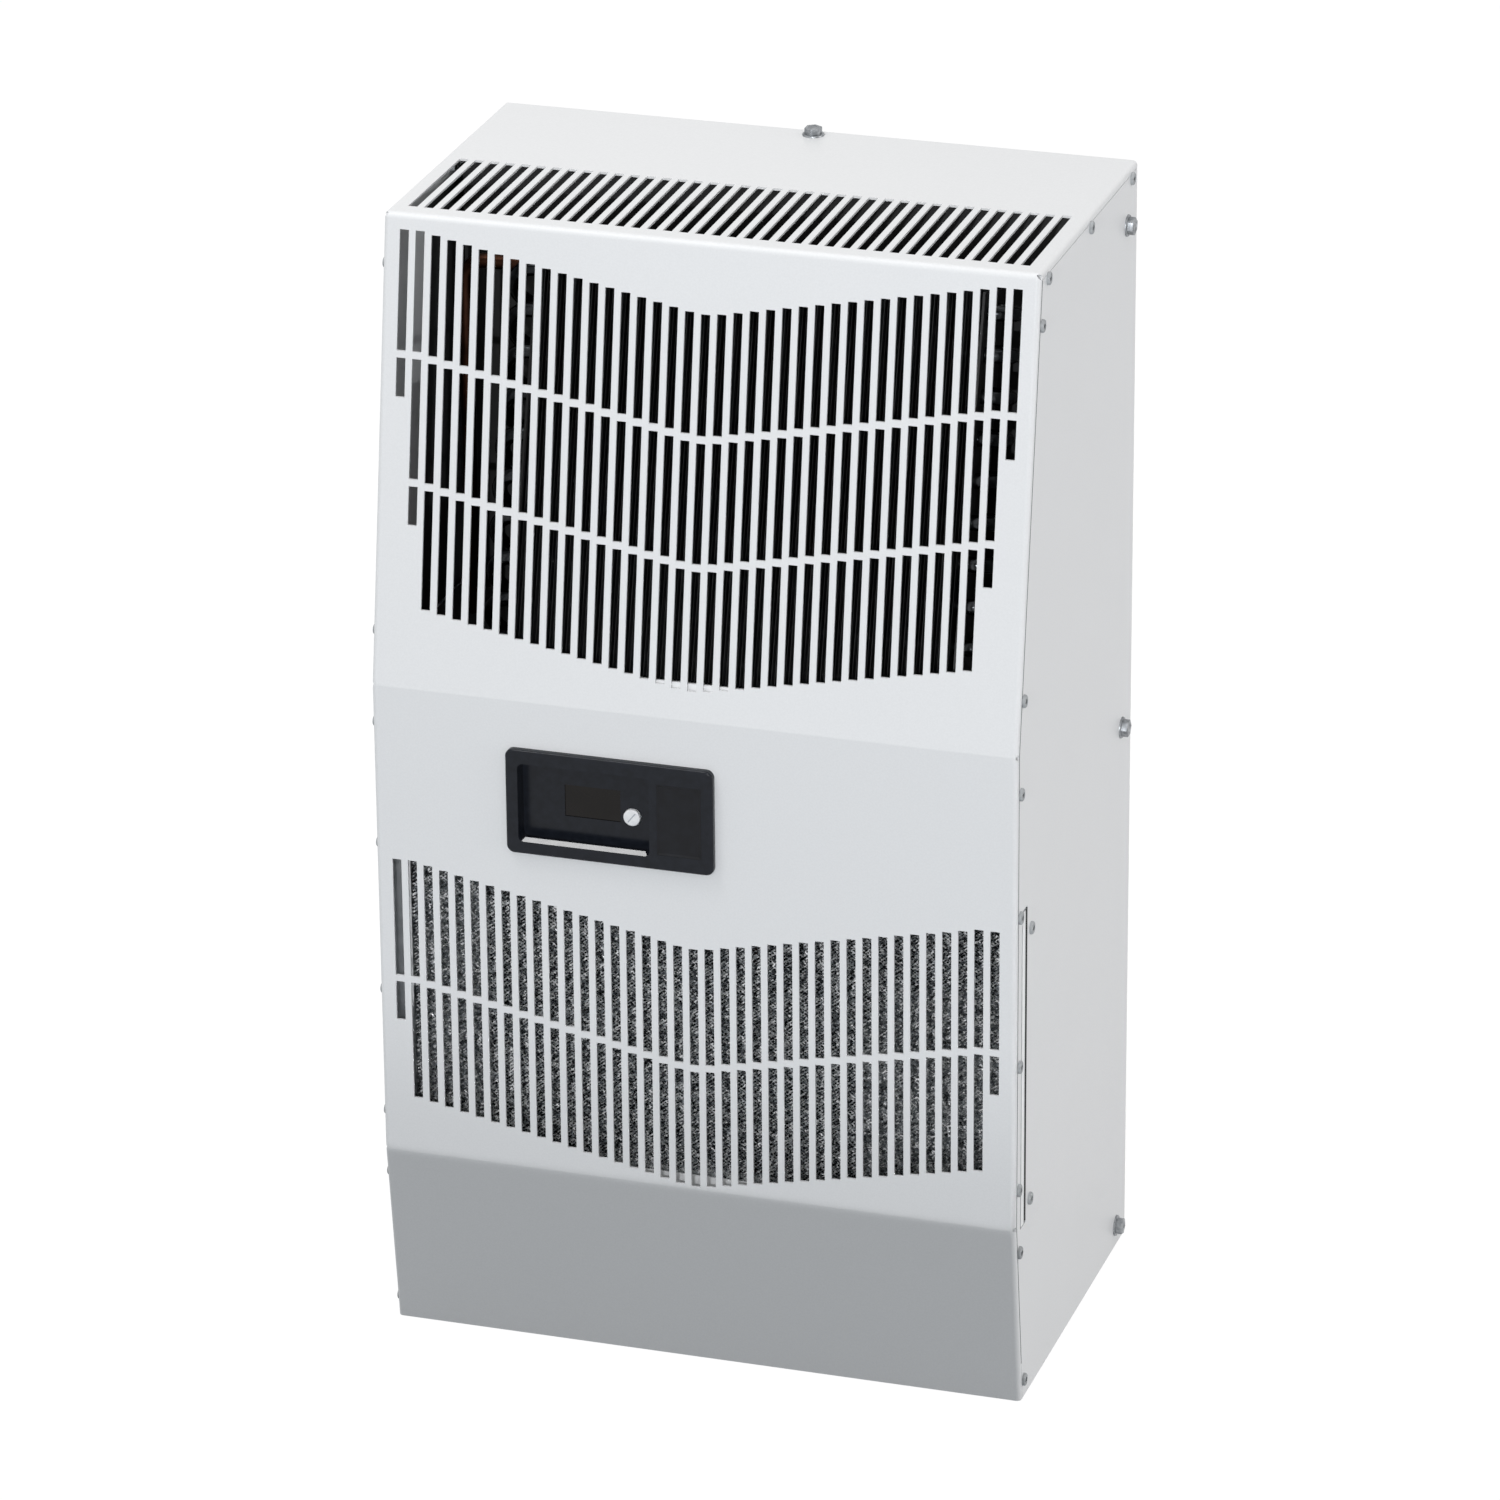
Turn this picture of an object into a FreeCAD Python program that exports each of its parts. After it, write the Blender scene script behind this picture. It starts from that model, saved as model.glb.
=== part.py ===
"""Enclosure air conditioner, in millimetres.

The origin lies in the middle of the base. +X runs to the right of someone facing the grilles,
+Y to the rear plate that bolts onto an enclosure, and +Z up.
"""
import FreeCAD, Part
import math
import os
import re
import Sketcher

Vector = FreeCAD.Vector
Rotation = FreeCAD.Rotation
Placement = FreeCAD.Placement

SIZES = {
    # casing of bent sheet
    "casing_width": 413, "casing_height": 735, "depth_mid": 266, "depth_top": 221,
    "depth_base": 250, "fold_upper": 442.5, "fold_lower": 126, "sheet": 1.5, "bend_radius": 4,
    "edge_radius": 3, "edge_wrap": 4.5, "panel_gap": 0.4, "flange_width": 11.5,
    "relief_radius": 1.6, "relief_inset": 2.2,
    # grilles
    "slot_pitch": 10.16, "slot_width": 5.9, "slot_bridge": 4.3, "upper_drop": 9.8,
    "upper_slot": 74.1, "upper_step": 1.92, "upper_short": 24.2, "lower_drop": 115.6,
    "lower_slot": 79.2, "lower_step": 2.09, "lower_short": 26.3, "top_slot": 94,
    "top_slot_inset": 13.8,
    # casing fasteners
    "screw_inset": 8, "screw_shank": 2, "screw_head": 3.6, "screw_head_height": 2,
    "screw_length": 8, "screw_clearance": 0.15, "top_screw_first": 13, "top_screw_pitch": 96,
    "screw_below_top": 33.5, "screw_above_fold": 32, "screw_below_fold": 27, "screw_high": 334,
    "screw_low": 234, "screw_above_bend": 24, "screw_below_bend": 20, "screw_above_base": 12,
    "bolt_inset": 22, "bolt_below_top": 35, "bolt_mid": 365, "bolt_low": 14, "bolt_radius": 3,
    "bolt_head": 5.8, "bolt_head_height": 4, "bolt_length": 14, "washer_radius": 7, "washer": 1.2,
    "bolt_clearance": 0.3, "nut_height": 5, "top_bolt_inset": 8,
    # chassis
    "chassis": 2, "chassis_flange": 45, "pan_height": 24, "pan_gap": 2, "rear_bay": 73,
    "pan_screw_inset": 3, "insulation": 8, "wall_bolt_inset": 18, "wall_bolt_end": 40,
    "wall_bolt_hole": 3.3, "wall_nut": 6.4, "wall_nut_height": 6, "gasket_inset": 5.5,
    "gasket_width": 8, "gasket": 5, "outlet_width": 300, "outlet_low": 75, "outlet_high": 185,
    # filter
    "filter_setback": 14, "filter_depth": 8.5, "filter_over": 8, "filter_under": 4,
    "filter_rail": 3.5, "filter_left_gap": 13.5, "filter_play": 0.4, "mesh_depth": 6.5,
    "guide_wall": 1.2, "guide_lip": 7, "slot_play": 1, "slot_rear_play": 2.5,
    "guide_screw_high": 18, "guide_screw_low": 11,
    # control panel
    "bezel_left": 87.5, "bezel_drop": 30.5, "bezel_width": 134, "bezel_height": 69.2,
    "bezel_proud": 4.5, "bezel_edge": 1.5, "bezel_corner": 5, "bezel_wall": 2, "bezel_lip": 5,
    "recess_left": 8, "recess_width": 85, "recess_drop": 9, "recess_height": 52,
    "recess_depth": 11, "recess_corner": 3.5, "badge_right": 7.5, "badge_width": 28.5,
    "badge_drop": 12, "badge_height": 47, "badge_depth": 1.2, "badge_plate": 0.8,
    "window_left": 27, "window_width": 36, "window_drop": 15, "window_height": 21,
    "window_depth": 1.4, "button_left": 70.7, "button_drop": 31.5, "button_radius": 5.5,
    "button_play": 0.3, "button_proud": 2, "button_length": 8, "button_travel": 1,
    "controller_depth": 48,
    # condenser
    "deck_rise": 7.5, "deck_gap": 0.4, "deck_lip": 22, "deck_edge": 15, "tube_pitch": 25.4,
    "row_pitch": 22, "tube_radius": 4.76, "tube_wall": 0.8, "tube_fit": 0.05, "end_plate": 1.5,
    "bend_margin": 3, "stub": 14, "coil_setback": 14, "coil_left": 84, "coil_right": 45,
    "coil_extra_tilt": 7.3, "coil_headroom": 16, "fan_bay": 38, "fan_plate_side": 10,
    "fan_height": 140, "fan_radius": 92, "fan_play": 4, "fan_hub": 26, "fan_hub_length": 28,
    "fan_ahead": 12, "fan_chord": 56, "fan_blade": 2.2, "fan_pitch": 28, "motor_radius": 34,
    "motor_length": 26, "motor_gap": 3, "shaft_radius": 4, "shaft_fit": 0.05, "bracket": 2,
    "bracket_arm": 14, "bracket_reach": 14, "post_radius": 4,
    # compressor and pipes
    "compressor_left": 106, "compressor_radius": 56, "compressor_height": 200,
    "compressor_dome": 20, "compressor_wall": 8, "foot_reach": 110, "foot_trim": 88,
    "foot_circle": 76, "foot": 3, "grommet_radius": 12, "grommet_height": 13, "stud_radius": 5,
    "stud_play": 0.3, "stud_nut": 8.5, "stud_nut_height": 7, "stud_end": 3.5,
    "accumulator_radius": 24, "accumulator_height": 130, "accumulator_low": 80,
    "accumulator_gap": 10, "accumulator_rear": 32, "accumulator_drop": 26, "pipe_radius": 4.76,
    "pipe_wall": 0.8, "pipe_bend": 14, "pipe_play": 1.5, "riser_left": 27, "liquid_left": 16,
    "discharge_rise": 45, "drier_radius": 11, "drier_length": 62, "drier_gap": 24,
    "capillary_radius": 3, "suction_left": 18,
    # evaporator side
    "evaporator_low": 332, "evaporator_left": 56, "evaporator_right": 40, "blower_height": 575,
    "inlet_radius": 75, "throat_radius": 62, "ring_flange": 96, "ring_wall": 1.5, "ring_depth": 22,
    "bell_radius": 66, "bell_knee": 5.5, "bell_straight": 13.2, "wheel_radius": 92,
    "wheel_eye": 66, "wheel_disc": 2, "wheel_depth": 30, "wheel_hub": 16, "wheel_hub_length": 18,
    "blade_inner": 68, "blade_outer": 88, "blade_sweep": 46, "blade": 2, "blower_flange": 45,
    "blower_flange_depth": 4, "blower_radius": 36, "blower_hole": 50, "wheel_gap": 4,
    "guard_wire": 1.2, "guard_bar": 4, "guard_radius": 82, "guard_pitch": 18, "guard_tab": 12,
    "guard_tab_depth": 1.2, "guard_screw": 1.6, "guard_screw_head": 3.2, "drain_low": 40,
    "drain_height": 18, "drain_wall": 1.5, "drain_side": 28, "drain_left": 60, "spout_radius": 6.2,
    "spout_wall": 1.6, "spout_play": 0.3, "spout_reach": 24, "coupling_radius": 15,
    "coupling_bore": 9.5, "coupling_depth": 15, "coupling_height": 22, "coupling_collar": 19,
    "coupling_collar_height": 3, "coupling_play": 0.2,
    # electrical parts
    "box_width": 120, "box_depth": 90, "box_height": 190, "box_wall": 1.2, "box_side": 10,
    "block_width": 70, "block_height": 24, "block_depth": 26, "block_rise": 40,
    "capacitor_radius": 17, "capacitor_length": 70, "capacitor_rise": 85, "part_inset": 16,
    "bushing_side": 40, "bushing_height": 262, "bushing_bore": 8, "bushing_barrel": 11,
    "bushing_lip": 14, "bushing_lip_depth": 3, "bushing_length": 14, "bushing_play": 0.1,
}
SLOT_COLUMNS = 39
UPPER_ROWS = 3
LOWER_ROWS = 2
EVAPORATOR_LEVELS = 4
FAN_BLADES = 5
WHEEL_BLADES = 9
GUARD_RINGS = 5
BRACKET_ARMS = 4
BRACKET_TURN = 45

# places that many pieces share
HALF = "(casing_width/2)"
SIDE = "(casing_width/2-sheet)"
REAR = "(depth_mid/2)"
FRONT = "(-depth_mid/2)"
TOP_FRONT = "(depth_mid/2-depth_top)"
BASE_FRONT = "(depth_mid/2-depth_base)"
ROOF = "(casing_height-sheet)"
PLATE = "(depth_mid/2-chassis)"
BULKHEAD = "(depth_mid/2-rear_bay)"
COLD = "(depth_mid/2-rear_bay+sheet+insulation)"
UPPER_SLOPE = "((depth_mid-depth_top)/(casing_height-fold_upper))"
LOWER_SLOPE = "((depth_mid-depth_base)/fold_lower)"
UPPER_LEAN = f"sqrt(1+{UPPER_SLOPE}^2)"
LOWER_LEAN = f"sqrt(1+{LOWER_SLOPE}^2)"
DECK = "(fold_upper+deck_rise)"
FAN_PLATE = f"({BULKHEAD}-fan_bay)"
FILTER_FRONT = f"({FRONT}+filter_setback)"
FILTER_REAR = f"({FRONT}+filter_setback+filter_depth)"
FILTER_LOW = "(fold_lower-filter_under)"
FILTER_HIGH = "(fold_upper-lower_drop+filter_over)"
FILTER_LEFT = f"(-{HALF}+filter_left_gap)"
BEZEL_LEFT = f"(-{HALF}+bezel_left)"
BEZEL_TOP = "(fold_upper-bezel_drop)"
BEZEL_FRONT = f"({FRONT}-bezel_proud)"
RECESS_FLOOR = f"({BEZEL_FRONT}+recess_depth)"
BEZEL_REAR = f"({RECESS_FLOOR}+bezel_wall)"
RECESS_LEFT = f"({BEZEL_LEFT}+recess_left)"
RECESS_TOP = f"({BEZEL_TOP}-recess_drop)"
COMPRESSOR_X = f"(-{HALF}+compressor_left)"
PAN_FRONT = f"({BASE_FRONT}+sheet*{LOWER_LEAN}+pan_gap)"
COMPRESSOR_Y = f"(({PAN_FRONT}+chassis+{BULKHEAD})/2)"
FOOT_LOW = "(chassis+grommet_height)"
RISER_X = f"(-{HALF}+riser_left)"
LIQUID_X = f"(-{HALF}+liquid_left)"
DIAGONAL = "sqrt(0.5)"
GUARD_REACH = f"((guard_radius+guard_tab/2)*{DIAGONAL})"

doc = FreeCAD.newDocument("enclosure_air_conditioner")
sheet = doc.addObject("Spreadsheet::Sheet", "Sizes")
for row, (size_name, number) in enumerate(SIZES.items(), start=1):
    sheet.set(f"A{row}", size_name)
    sheet.set(f"B{row}", str(number))
    sheet.setAlias(f"B{row}", size_name)
doc.recompute()
nodes = []


def formula(text):
    """The text with every size name pointing at its cell."""
    return re.sub(r"\b([a-z][a-z0-9_]*)\b(?!\()", r"Sizes.\1", text)


def value(text):
    return float(sheet.evalExpression(formula(text)))


def bind(thing, prop, text):
    thing.setExpression(prop, formula(text))


def keep(thing, label):
    """Give a finished sub-part its name and put it on the list of nodes."""
    thing.Label = label
    nodes.append(thing)
    return thing


# solids from boxes, round bars and six-sided bars
TURNS = {
    "X": Rotation(Vector(0, 1, 0), 90),
    "Y": Rotation(Vector(1, 0, 0), -90),
    "Z": Rotation(),
}


def put(thing, place):
    for letter, text in zip("xyz", place):
        bind(thing, f"Placement.Base.{letter}", text)


def block(name, low, high):
    """Box between two corners."""
    box = doc.addObject("Part::Box", name)
    for side, start, end in zip(("Length", "Width", "Height"), low, high):
        bind(box, side, f"({end})-({start})")
    put(box, low)
    return box


def rod(name, start, radius, length, axis="Z"):
    """Round bar from the middle of its first end."""
    bar = doc.addObject("Part::Cylinder", name)
    bar.Placement = Placement(Vector(), TURNS[axis])
    bind(bar, "Radius", radius)
    bind(bar, "Height", length)
    put(bar, start)
    return bar


def hexagon(name, start, radius, length, axis="Z", sides=6):
    """Bar with flat sides; radius reaches its corners."""
    bar = doc.addObject("Part::Prism", name)
    bar.Polygon = sides
    bar.Placement = Placement(Vector(), TURNS[axis])
    bind(bar, "Circumradius", radius)
    bind(bar, "Height", length)
    put(bar, start)
    return bar


def fuse(name, *pieces):
    whole = doc.addObject("Part::MultiFuse", name)
    whole.Shapes = list(pieces)
    whole.Refine = True
    return whole


def cut(name, base, *tools):
    rest = doc.addObject("Part::Cut", name)
    rest.Base = base
    rest.Tool = tools[0] if len(tools) == 1 else fuse(f"{name}_tools", *tools)
    return rest


def bundle(name, pieces):
    group = doc.addObject("Part::Compound", name)
    group.Links = list(pieces)
    return group


# bodies from sketches
def new_body(name):
    return doc.addObject("PartDesign::Body", name)


def sketch_on(body, name, role, lift="0"):
    """Sketch on one of the body's own planes, moved along its normal."""
    sketch = body.newObject("Sketcher::SketchObject", f"{body.Name}_{name}")
    plane = next(f for f in body.Origin.OriginFeatures if f.Role == role)
    sketch.AttachmentSupport = [(plane, "")]
    sketch.MapMode = "FlatFace"
    bind(sketch, "AttachmentOffset.Base.z", lift)
    return sketch


def hold(sketch, held):
    """Hold points at formulas: rows of (geometry, point, across, up)."""
    rules = []
    texts = []
    for geometry, point, across, up in held:
        for kind, text in (("DistanceX", across), ("DistanceY", up)):
            rules.append(Sketcher.Constraint(kind, -1, 1, geometry, point, value(text)))
            texts.append(text)
    for number, text in zip(sketch.addConstraint(rules), texts):
        bind(sketch, f"Constraints[{number}]", text)


def add_loop(sketch, corners):
    """Closed outline of straight lines through corners."""
    first = sketch.GeometryCount
    count = len(corners)
    points = [Vector(value(across), value(up), 0) for across, up in corners]
    sketch.addGeometry([Part.LineSegment(points[i], points[(i + 1) % count]) for i in range(count)])
    sketch.addConstraint([
        Sketcher.Constraint("Coincident", first + i, 2, first + (i + 1) % count, 1)
        for i in range(count)])
    hold(sketch, [(first + i, 1, across, up) for i, (across, up) in enumerate(corners)])


def add_rectangle(sketch, left, low, right, high):
    add_loop(sketch, [(left, low), (right, low), (right, high), (left, high)])


def add_circle(sketch, across, up, radius):
    number = sketch.GeometryCount
    centre = Vector(value(across), value(up), 0)
    sketch.addGeometry(Part.Circle(centre, Vector(0, 0, 1), value(radius)))
    hold(sketch, [(number, 3, across, up)])
    rule = sketch.addConstraint(Sketcher.Constraint("Radius", number, value(radius)))
    bind(sketch, f"Constraints[{rule}]", radius)


def pad(body, sketch, length, both=False):
    feature = body.newObject("PartDesign::Pad", f"{sketch.Name}_pad")
    feature.Profile = sketch
    bind(feature, "Length", length)
    if both:
        feature.SideType = "Symmetric"
    return feature


def pocket(body, sketch, depth=None):
    """Cut of a depth from the sketch, or right through both ways."""
    feature = body.newObject("PartDesign::Pocket", f"{sketch.Name}_pocket")
    feature.Profile = sketch
    if depth is None:
        feature.Type = "ThroughAll"
        feature.SideType = "Symmetric"
    else:
        bind(feature, "Length", depth)
    return feature


def round_edges(body, feature, radius, test):
    doc.recompute()
    names = [f"Edge{i}" for i, edge in enumerate(feature.Shape.Edges, 1) if test(edge)]
    fillet = body.newObject("PartDesign::Fillet", f"{feature.Name}_round")
    fillet.Base = (feature, names)
    bind(fillet, "Radius", radius)
    doc.recompute()
    return fillet


def repeat(body, feature, direction, spacing, count):
    """Copies in a row along a direction of a sketch."""
    pattern = body.newObject("PartDesign::LinearPattern", f"{feature.Name}_row")
    pattern.Originals = [feature]
    pattern.Direction = direction
    pattern.Mode = "Spacing"
    bind(pattern, "Offset", spacing)
    pattern.Occurrences = count
    body.Tip = pattern
    return pattern


def seat(thing, place, angle="0"):
    """Place a body with a turn about X."""
    thing.Placement = Placement(Vector(), Rotation(Vector(1, 0, 0), 1))
    bind(thing, "Placement.Rotation.Angle", angle)
    put(thing, place)


# bent tubes
def bent_path(points, bend):
    """Straight runs through points, joined by tangent arcs."""
    edges = []
    start = points[0]
    for before, corner, after in zip(points, points[1:], points[2:]):
        arrive = (corner - before).normalize()
        leave = (after - corner).normalize()
        turn = arrive.getAngle(leave)
        reach = bend * math.tan(turn / 2)
        first = corner - arrive * reach
        last = corner + leave * reach
        inward = (leave - arrive).normalize()
        centre = corner + inward * (bend / math.cos(turn / 2))
        edges.append(Part.makeLine(start, first))
        edges.append(Part.Arc(first, centre - inward * bend, last).toShape())
        start = last
    edges.append(Part.makeLine(start, points[-1]))
    return edges


def tube_solid(edges, radius, wall):
    """Hollow round tube along a path of lines and arcs."""
    path = Part.Wire(edges)
    start = edges[0].valueAt(edges[0].FirstParameter)
    along = edges[0].tangentAt(edges[0].FirstParameter)
    skins = [
        path.makePipeShell([Part.Wire([Part.makeCircle(size, start, along)])], True, False)
        for size in (radius, radius - wall)]
    return skins[0].cut(skins[1])


def bent_tube(label, corners, radius, wall="pipe_wall", bend="pipe_bend"):
    points = [Vector(*(value(text) for text in corner)) for corner in corners]
    tube = doc.addObject("Part::Feature", label)
    tube.Shape = tube_solid(bent_path(points, value(bend)), value(radius), value(wall))
    return keep(tube, label)


# casing
def profile(inset):
    """Corners (y, z) of the casing's side view, moved in from its top and front."""
    return [
        (REAR, f"casing_height-({inset})"),
        (f"{TOP_FRONT}+({inset})*({UPPER_LEAN}-{UPPER_SLOPE})", f"casing_height-({inset})"),
        (f"{FRONT}+({inset})", f"fold_upper-({inset})*({UPPER_LEAN}-1)/{UPPER_SLOPE}"),
        (f"{FRONT}+({inset})", f"fold_lower+({inset})*({LOWER_LEAN}-1)/{LOWER_SLOPE}"),
        (f"{BASE_FRONT}+({inset})*{LOWER_LEAN}", "0"),
        (REAR, "0"),
    ]


def edge_places():
    """Screw places (y, z) along the front edge of a side panel, from the top down."""
    def upper(height):
        return f"{FRONT}+(({height})-fold_upper)*{UPPER_SLOPE}+screw_inset*{UPPER_LEAN}", height

    def lower(height):
        return f"{FRONT}+(fold_lower-({height}))*{LOWER_SLOPE}+screw_inset*{LOWER_LEAN}", height

    middle = f"{FRONT}+screw_inset"
    return [
        upper("casing_height-screw_below_top"), upper("fold_upper+screw_above_fold"),
        (middle, "fold_upper-screw_below_fold"), (middle, "screw_high"), (middle, "screw_low"),
        (middle, "fold_lower+screw_above_bend"),
        lower("fold_lower-screw_below_bend"),
        (f"{PAN_FRONT}+pan_screw_inset", "screw_above_base"),
    ]


def top_places():
    """Screw places (y, z) along the top edge, from the rear."""
    return [(f"{REAR}-top_screw_first-{i}*top_screw_pitch", "casing_height-screw_inset")
            for i in range(3)]


SCREW_PLACES = edge_places() + top_places()
PAN_SCREW = edge_places()[-1]
PLATE_SCREW = top_places()[0]
COVER_SCREWS = edge_places()[:-1] + top_places()[1:]
BOLT_PLACES = [(f"{REAR}-bolt_inset", height)
               for height in ("casing_height-bolt_below_top", "bolt_mid", "bolt_low")]
GUIDE_SCREWS = [(f"{FILTER_REAR}+slot_rear_play+screw_inset", height)
                for height in (f"{FILTER_HIGH}-guide_screw_high", f"{FILTER_LOW}+guide_screw_low")]


def slot_field(body, name, drop, length, step, start, columns, rows):
    """Both halves of a grille whose slots step down from the sides to the middle."""
    for side, sign in (("left", "-1"), ("right", "1")):
        sketch = sketch_on(body, f"{name}_{side}", "XZ_Plane")
        middle = f"{sign}*{start}*slot_pitch"
        for row_number in range(rows):
            high = f"{drop}-{row_number}*({length}+slot_bridge)"
            add_rectangle(sketch, f"{middle}-slot_width/2", f"{high}-({length})",
                          f"{middle}+slot_width/2", high)
        origin = Vector(value(middle), value(drop), 0)
        run = Vector(-value(sign) * value("slot_pitch"), -value(step), 0)
        line = sketch.addGeometry(Part.LineSegment(origin, origin + run), True)
        hold(sketch, [(line, 1, middle, drop),
                      (line, 2, f"{middle}-({sign})*slot_pitch", f"{drop}-({step})")])
        repeat(body, pocket(body, sketch), (sketch, ["Axis0"]),
               f"sqrt(slot_pitch^2+({step})^2)", columns)


def odd_slots(body, name, slots):
    """Slots outside the stepped rows: rows of (column, high, length)."""
    sketch = sketch_on(body, name, "XZ_Plane")
    for column, high, length in slots:
        middle = f"{column}*slot_pitch"
        add_rectangle(sketch, f"{middle}-slot_width/2", f"{high}-({length})",
                      f"{middle}+slot_width/2", high)
    pocket(body, sketch)


def upper_grille(body):
    last = (SLOT_COLUMNS - 1) // 2
    drop = "(casing_height-upper_drop)"
    row = "(upper_slot+slot_bridge)"
    inner = last - 2
    slot_field(body, "upper", f"{drop}-upper_step", "upper_slot", "upper_step", inner, inner,
               UPPER_ROWS)
    slots = []
    for side in (-1, 1):
        slots += [(side * last, drop, "upper_slot"), (side * last, f"{drop}-{row}", "upper_short"),
                  (side * (last - 1), drop, "upper_slot"),
                  (side * (last - 1), f"{drop}-{row}", "upper_slot"),
                  (side * (last - 1), f"{drop}-2*{row}", "upper_short")]
    middle = f"{drop}-({inner}+0.5)*upper_step"
    slots += [(0, f"{middle}-{i}*{row}", "upper_slot") for i in range(UPPER_ROWS)]
    odd_slots(body, "upper_odd", slots)


def lower_grille(body):
    last = (SLOT_COLUMNS - 1) // 2
    drop = "(fold_upper-lower_drop)"
    row = "(lower_slot+slot_bridge)"
    inner = last - 1
    slot_field(body, "lower", drop, "lower_slot", "lower_step", inner, inner, LOWER_ROWS)
    slots = []
    for side in (-1, 1):
        slots += [(side * last, drop, "lower_slot"), (side * last, f"{drop}-{row}", "lower_short")]
    middle = f"{drop}-({inner}-0.5)*lower_step"
    slots += [(0, f"{middle}-{i}*{row}", "lower_slot") for i in range(LOWER_ROWS)]
    odd_slots(body, "lower_odd", slots)


def top_grille(body):
    sketch = sketch_on(body, "top_slot", "XY_Plane", "casing_height")
    middle = f"-{(SLOT_COLUMNS - 1) // 2}*slot_pitch"
    front = f"{TOP_FRONT}+top_slot_inset"
    add_rectangle(sketch, f"{middle}-slot_width/2", front, f"{middle}+slot_width/2",
                  f"{front}+top_slot")
    repeat(body, pocket(body, sketch, "2*sheet"), (sketch, ["H_Axis"]), "slot_pitch", SLOT_COLUMNS)


def shell_out(body, feature):
    """Turn the filled casing into a sheet that is open at the rear and below."""
    doc.recompute()
    rear = value(REAR)
    names = []
    for i, face in enumerate(feature.Shape.Faces, 1):
        box = face.BoundBox
        if box.YMin > rear - 0.01 or box.ZMax < 0.01:
            names.append(f"Face{i}")
    skin = body.newObject("PartDesign::Thickness", "cover_skin")
    skin.Base = (feature, names)
    skin.Reversed = True
    bind(skin, "Value", "sheet")
    doc.recompute()
    return skin


def flange_edge(inset):
    """Corners (y, z) of one edge of the side flange, clear of the rear plate and the pan."""
    corners = profile(inset)[:5]
    low = "(pan_height+panel_gap)"
    corners[0] = (f"{REAR}-chassis_flange-panel_gap", corners[0][1])
    corners[4] = (f"{corners[4][0]}-{low}*{LOWER_SLOPE}", low)
    return corners


def front_cover():
    """Top and front, bent from one sheet, with an edge turned round onto each side."""
    body = new_body("front_cover")
    side_view = sketch_on(body, "side_view", "YZ_Plane")
    add_loop(side_view, profile("0"))
    filled = pad(body, side_view, "casing_width", both=True)
    rear = value(REAR)
    half = value(HALF)

    def is_fold(edge):
        box = edge.BoundBox
        return box.XLength > half and box.YMax < rear - 1 and box.ZMin > 1

    def is_rim(edge):
        box = edge.BoundBox
        outside = abs(abs(box.Center.x) - half) < 0.01 and box.XLength < 0.01
        return outside and box.YMin < rear - 1 and box.ZMax > 1

    folded = round_edges(body, filled, "bend_radius", is_fold)
    rounded = round_edges(body, folded, "edge_radius", is_rim)
    shell_out(body, rounded)
    trim = sketch_on(body, "trim", "YZ_Plane")
    add_loop(trim, profile("edge_wrap"))
    pocket(body, trim)
    for side, lift in (("left", f"-{SIDE}"), ("right", f"{SIDE}-sheet")):
        flange = sketch_on(body, f"flange_{side}", "YZ_Plane", lift)
        add_loop(flange, flange_edge("sheet") + flange_edge("flange_width")[::-1])
        pad(body, flange, "sheet")
    holes = sketch_on(body, "side_holes", "YZ_Plane")
    for place in COVER_SCREWS:
        add_circle(holes, *place, "screw_shank+screw_clearance")
    for corner in profile("relief_inset")[1:4]:
        add_circle(holes, *corner, "relief_radius")
    pocket(body, holes)
    bolt = sketch_on(body, "bolt_hole", "XY_Plane", "casing_height")
    add_circle(bolt, "0", f"{REAR}-top_bolt_inset", "bolt_radius+bolt_clearance")
    pocket(body, bolt, "2*sheet")
    panel = sketch_on(body, "panel_hole", "XZ_Plane")
    add_rectangle(panel, f"{BEZEL_LEFT}+bezel_lip", f"{BEZEL_TOP}-bezel_height+bezel_lip",
                  f"{BEZEL_LEFT}+bezel_width-bezel_lip", f"{BEZEL_TOP}-bezel_lip")
    pocket(body, panel)
    upper_grille(body)
    lower_grille(body)
    top_grille(body)
    keep(body, "front_cover")


def side_panel(label, lift, slotted):
    """Flat panel screwed to the cover's flange; the right one has the filter's slot."""
    body = new_body(label)
    shape = sketch_on(body, "outline", "YZ_Plane", lift)
    add_loop(shape, profile("edge_wrap+panel_gap"))
    pad(body, shape, "sheet")
    holes = sketch_on(body, "holes", "YZ_Plane")
    for place in SCREW_PLACES + (GUIDE_SCREWS if slotted else []):
        add_circle(holes, *place, "screw_shank+screw_clearance")
    for place in BOLT_PLACES:
        add_circle(holes, *place, "bolt_radius+bolt_clearance")
    if slotted:
        add_rectangle(holes, f"{FILTER_FRONT}-slot_play", f"{FILTER_LOW}-slot_play",
                      f"{FILTER_REAR}+slot_rear_play", f"{FILTER_HIGH}+slot_play")
    pocket(body, holes)
    keep(body, label)


def side_screw(name, side, place):
    """Pan-head screw from one side; side is -1 at the left and 1 at the right."""
    y, z = place
    head = f"{HALF}" if side > 0 else f"-{HALF}-screw_head_height"
    shank = f"{HALF}-screw_length" if side > 0 else f"-{HALF}"
    return fuse(name, rod(f"{name}_head", (head, y, z), "screw_head", "screw_head_height", "X"),
                rod(f"{name}_shank", (shank, y, z), "screw_shank", "screw_length", "X"))


def side_screws():
    for label, side, places in (("left_side_screws", -1, SCREW_PLACES),
                                ("right_side_screws", 1, SCREW_PLACES + GUIDE_SCREWS)):
        screws = [side_screw(f"{label}_{i}", side, place) for i, place in enumerate(places)]
        keep(bundle(label, screws), label)


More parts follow.
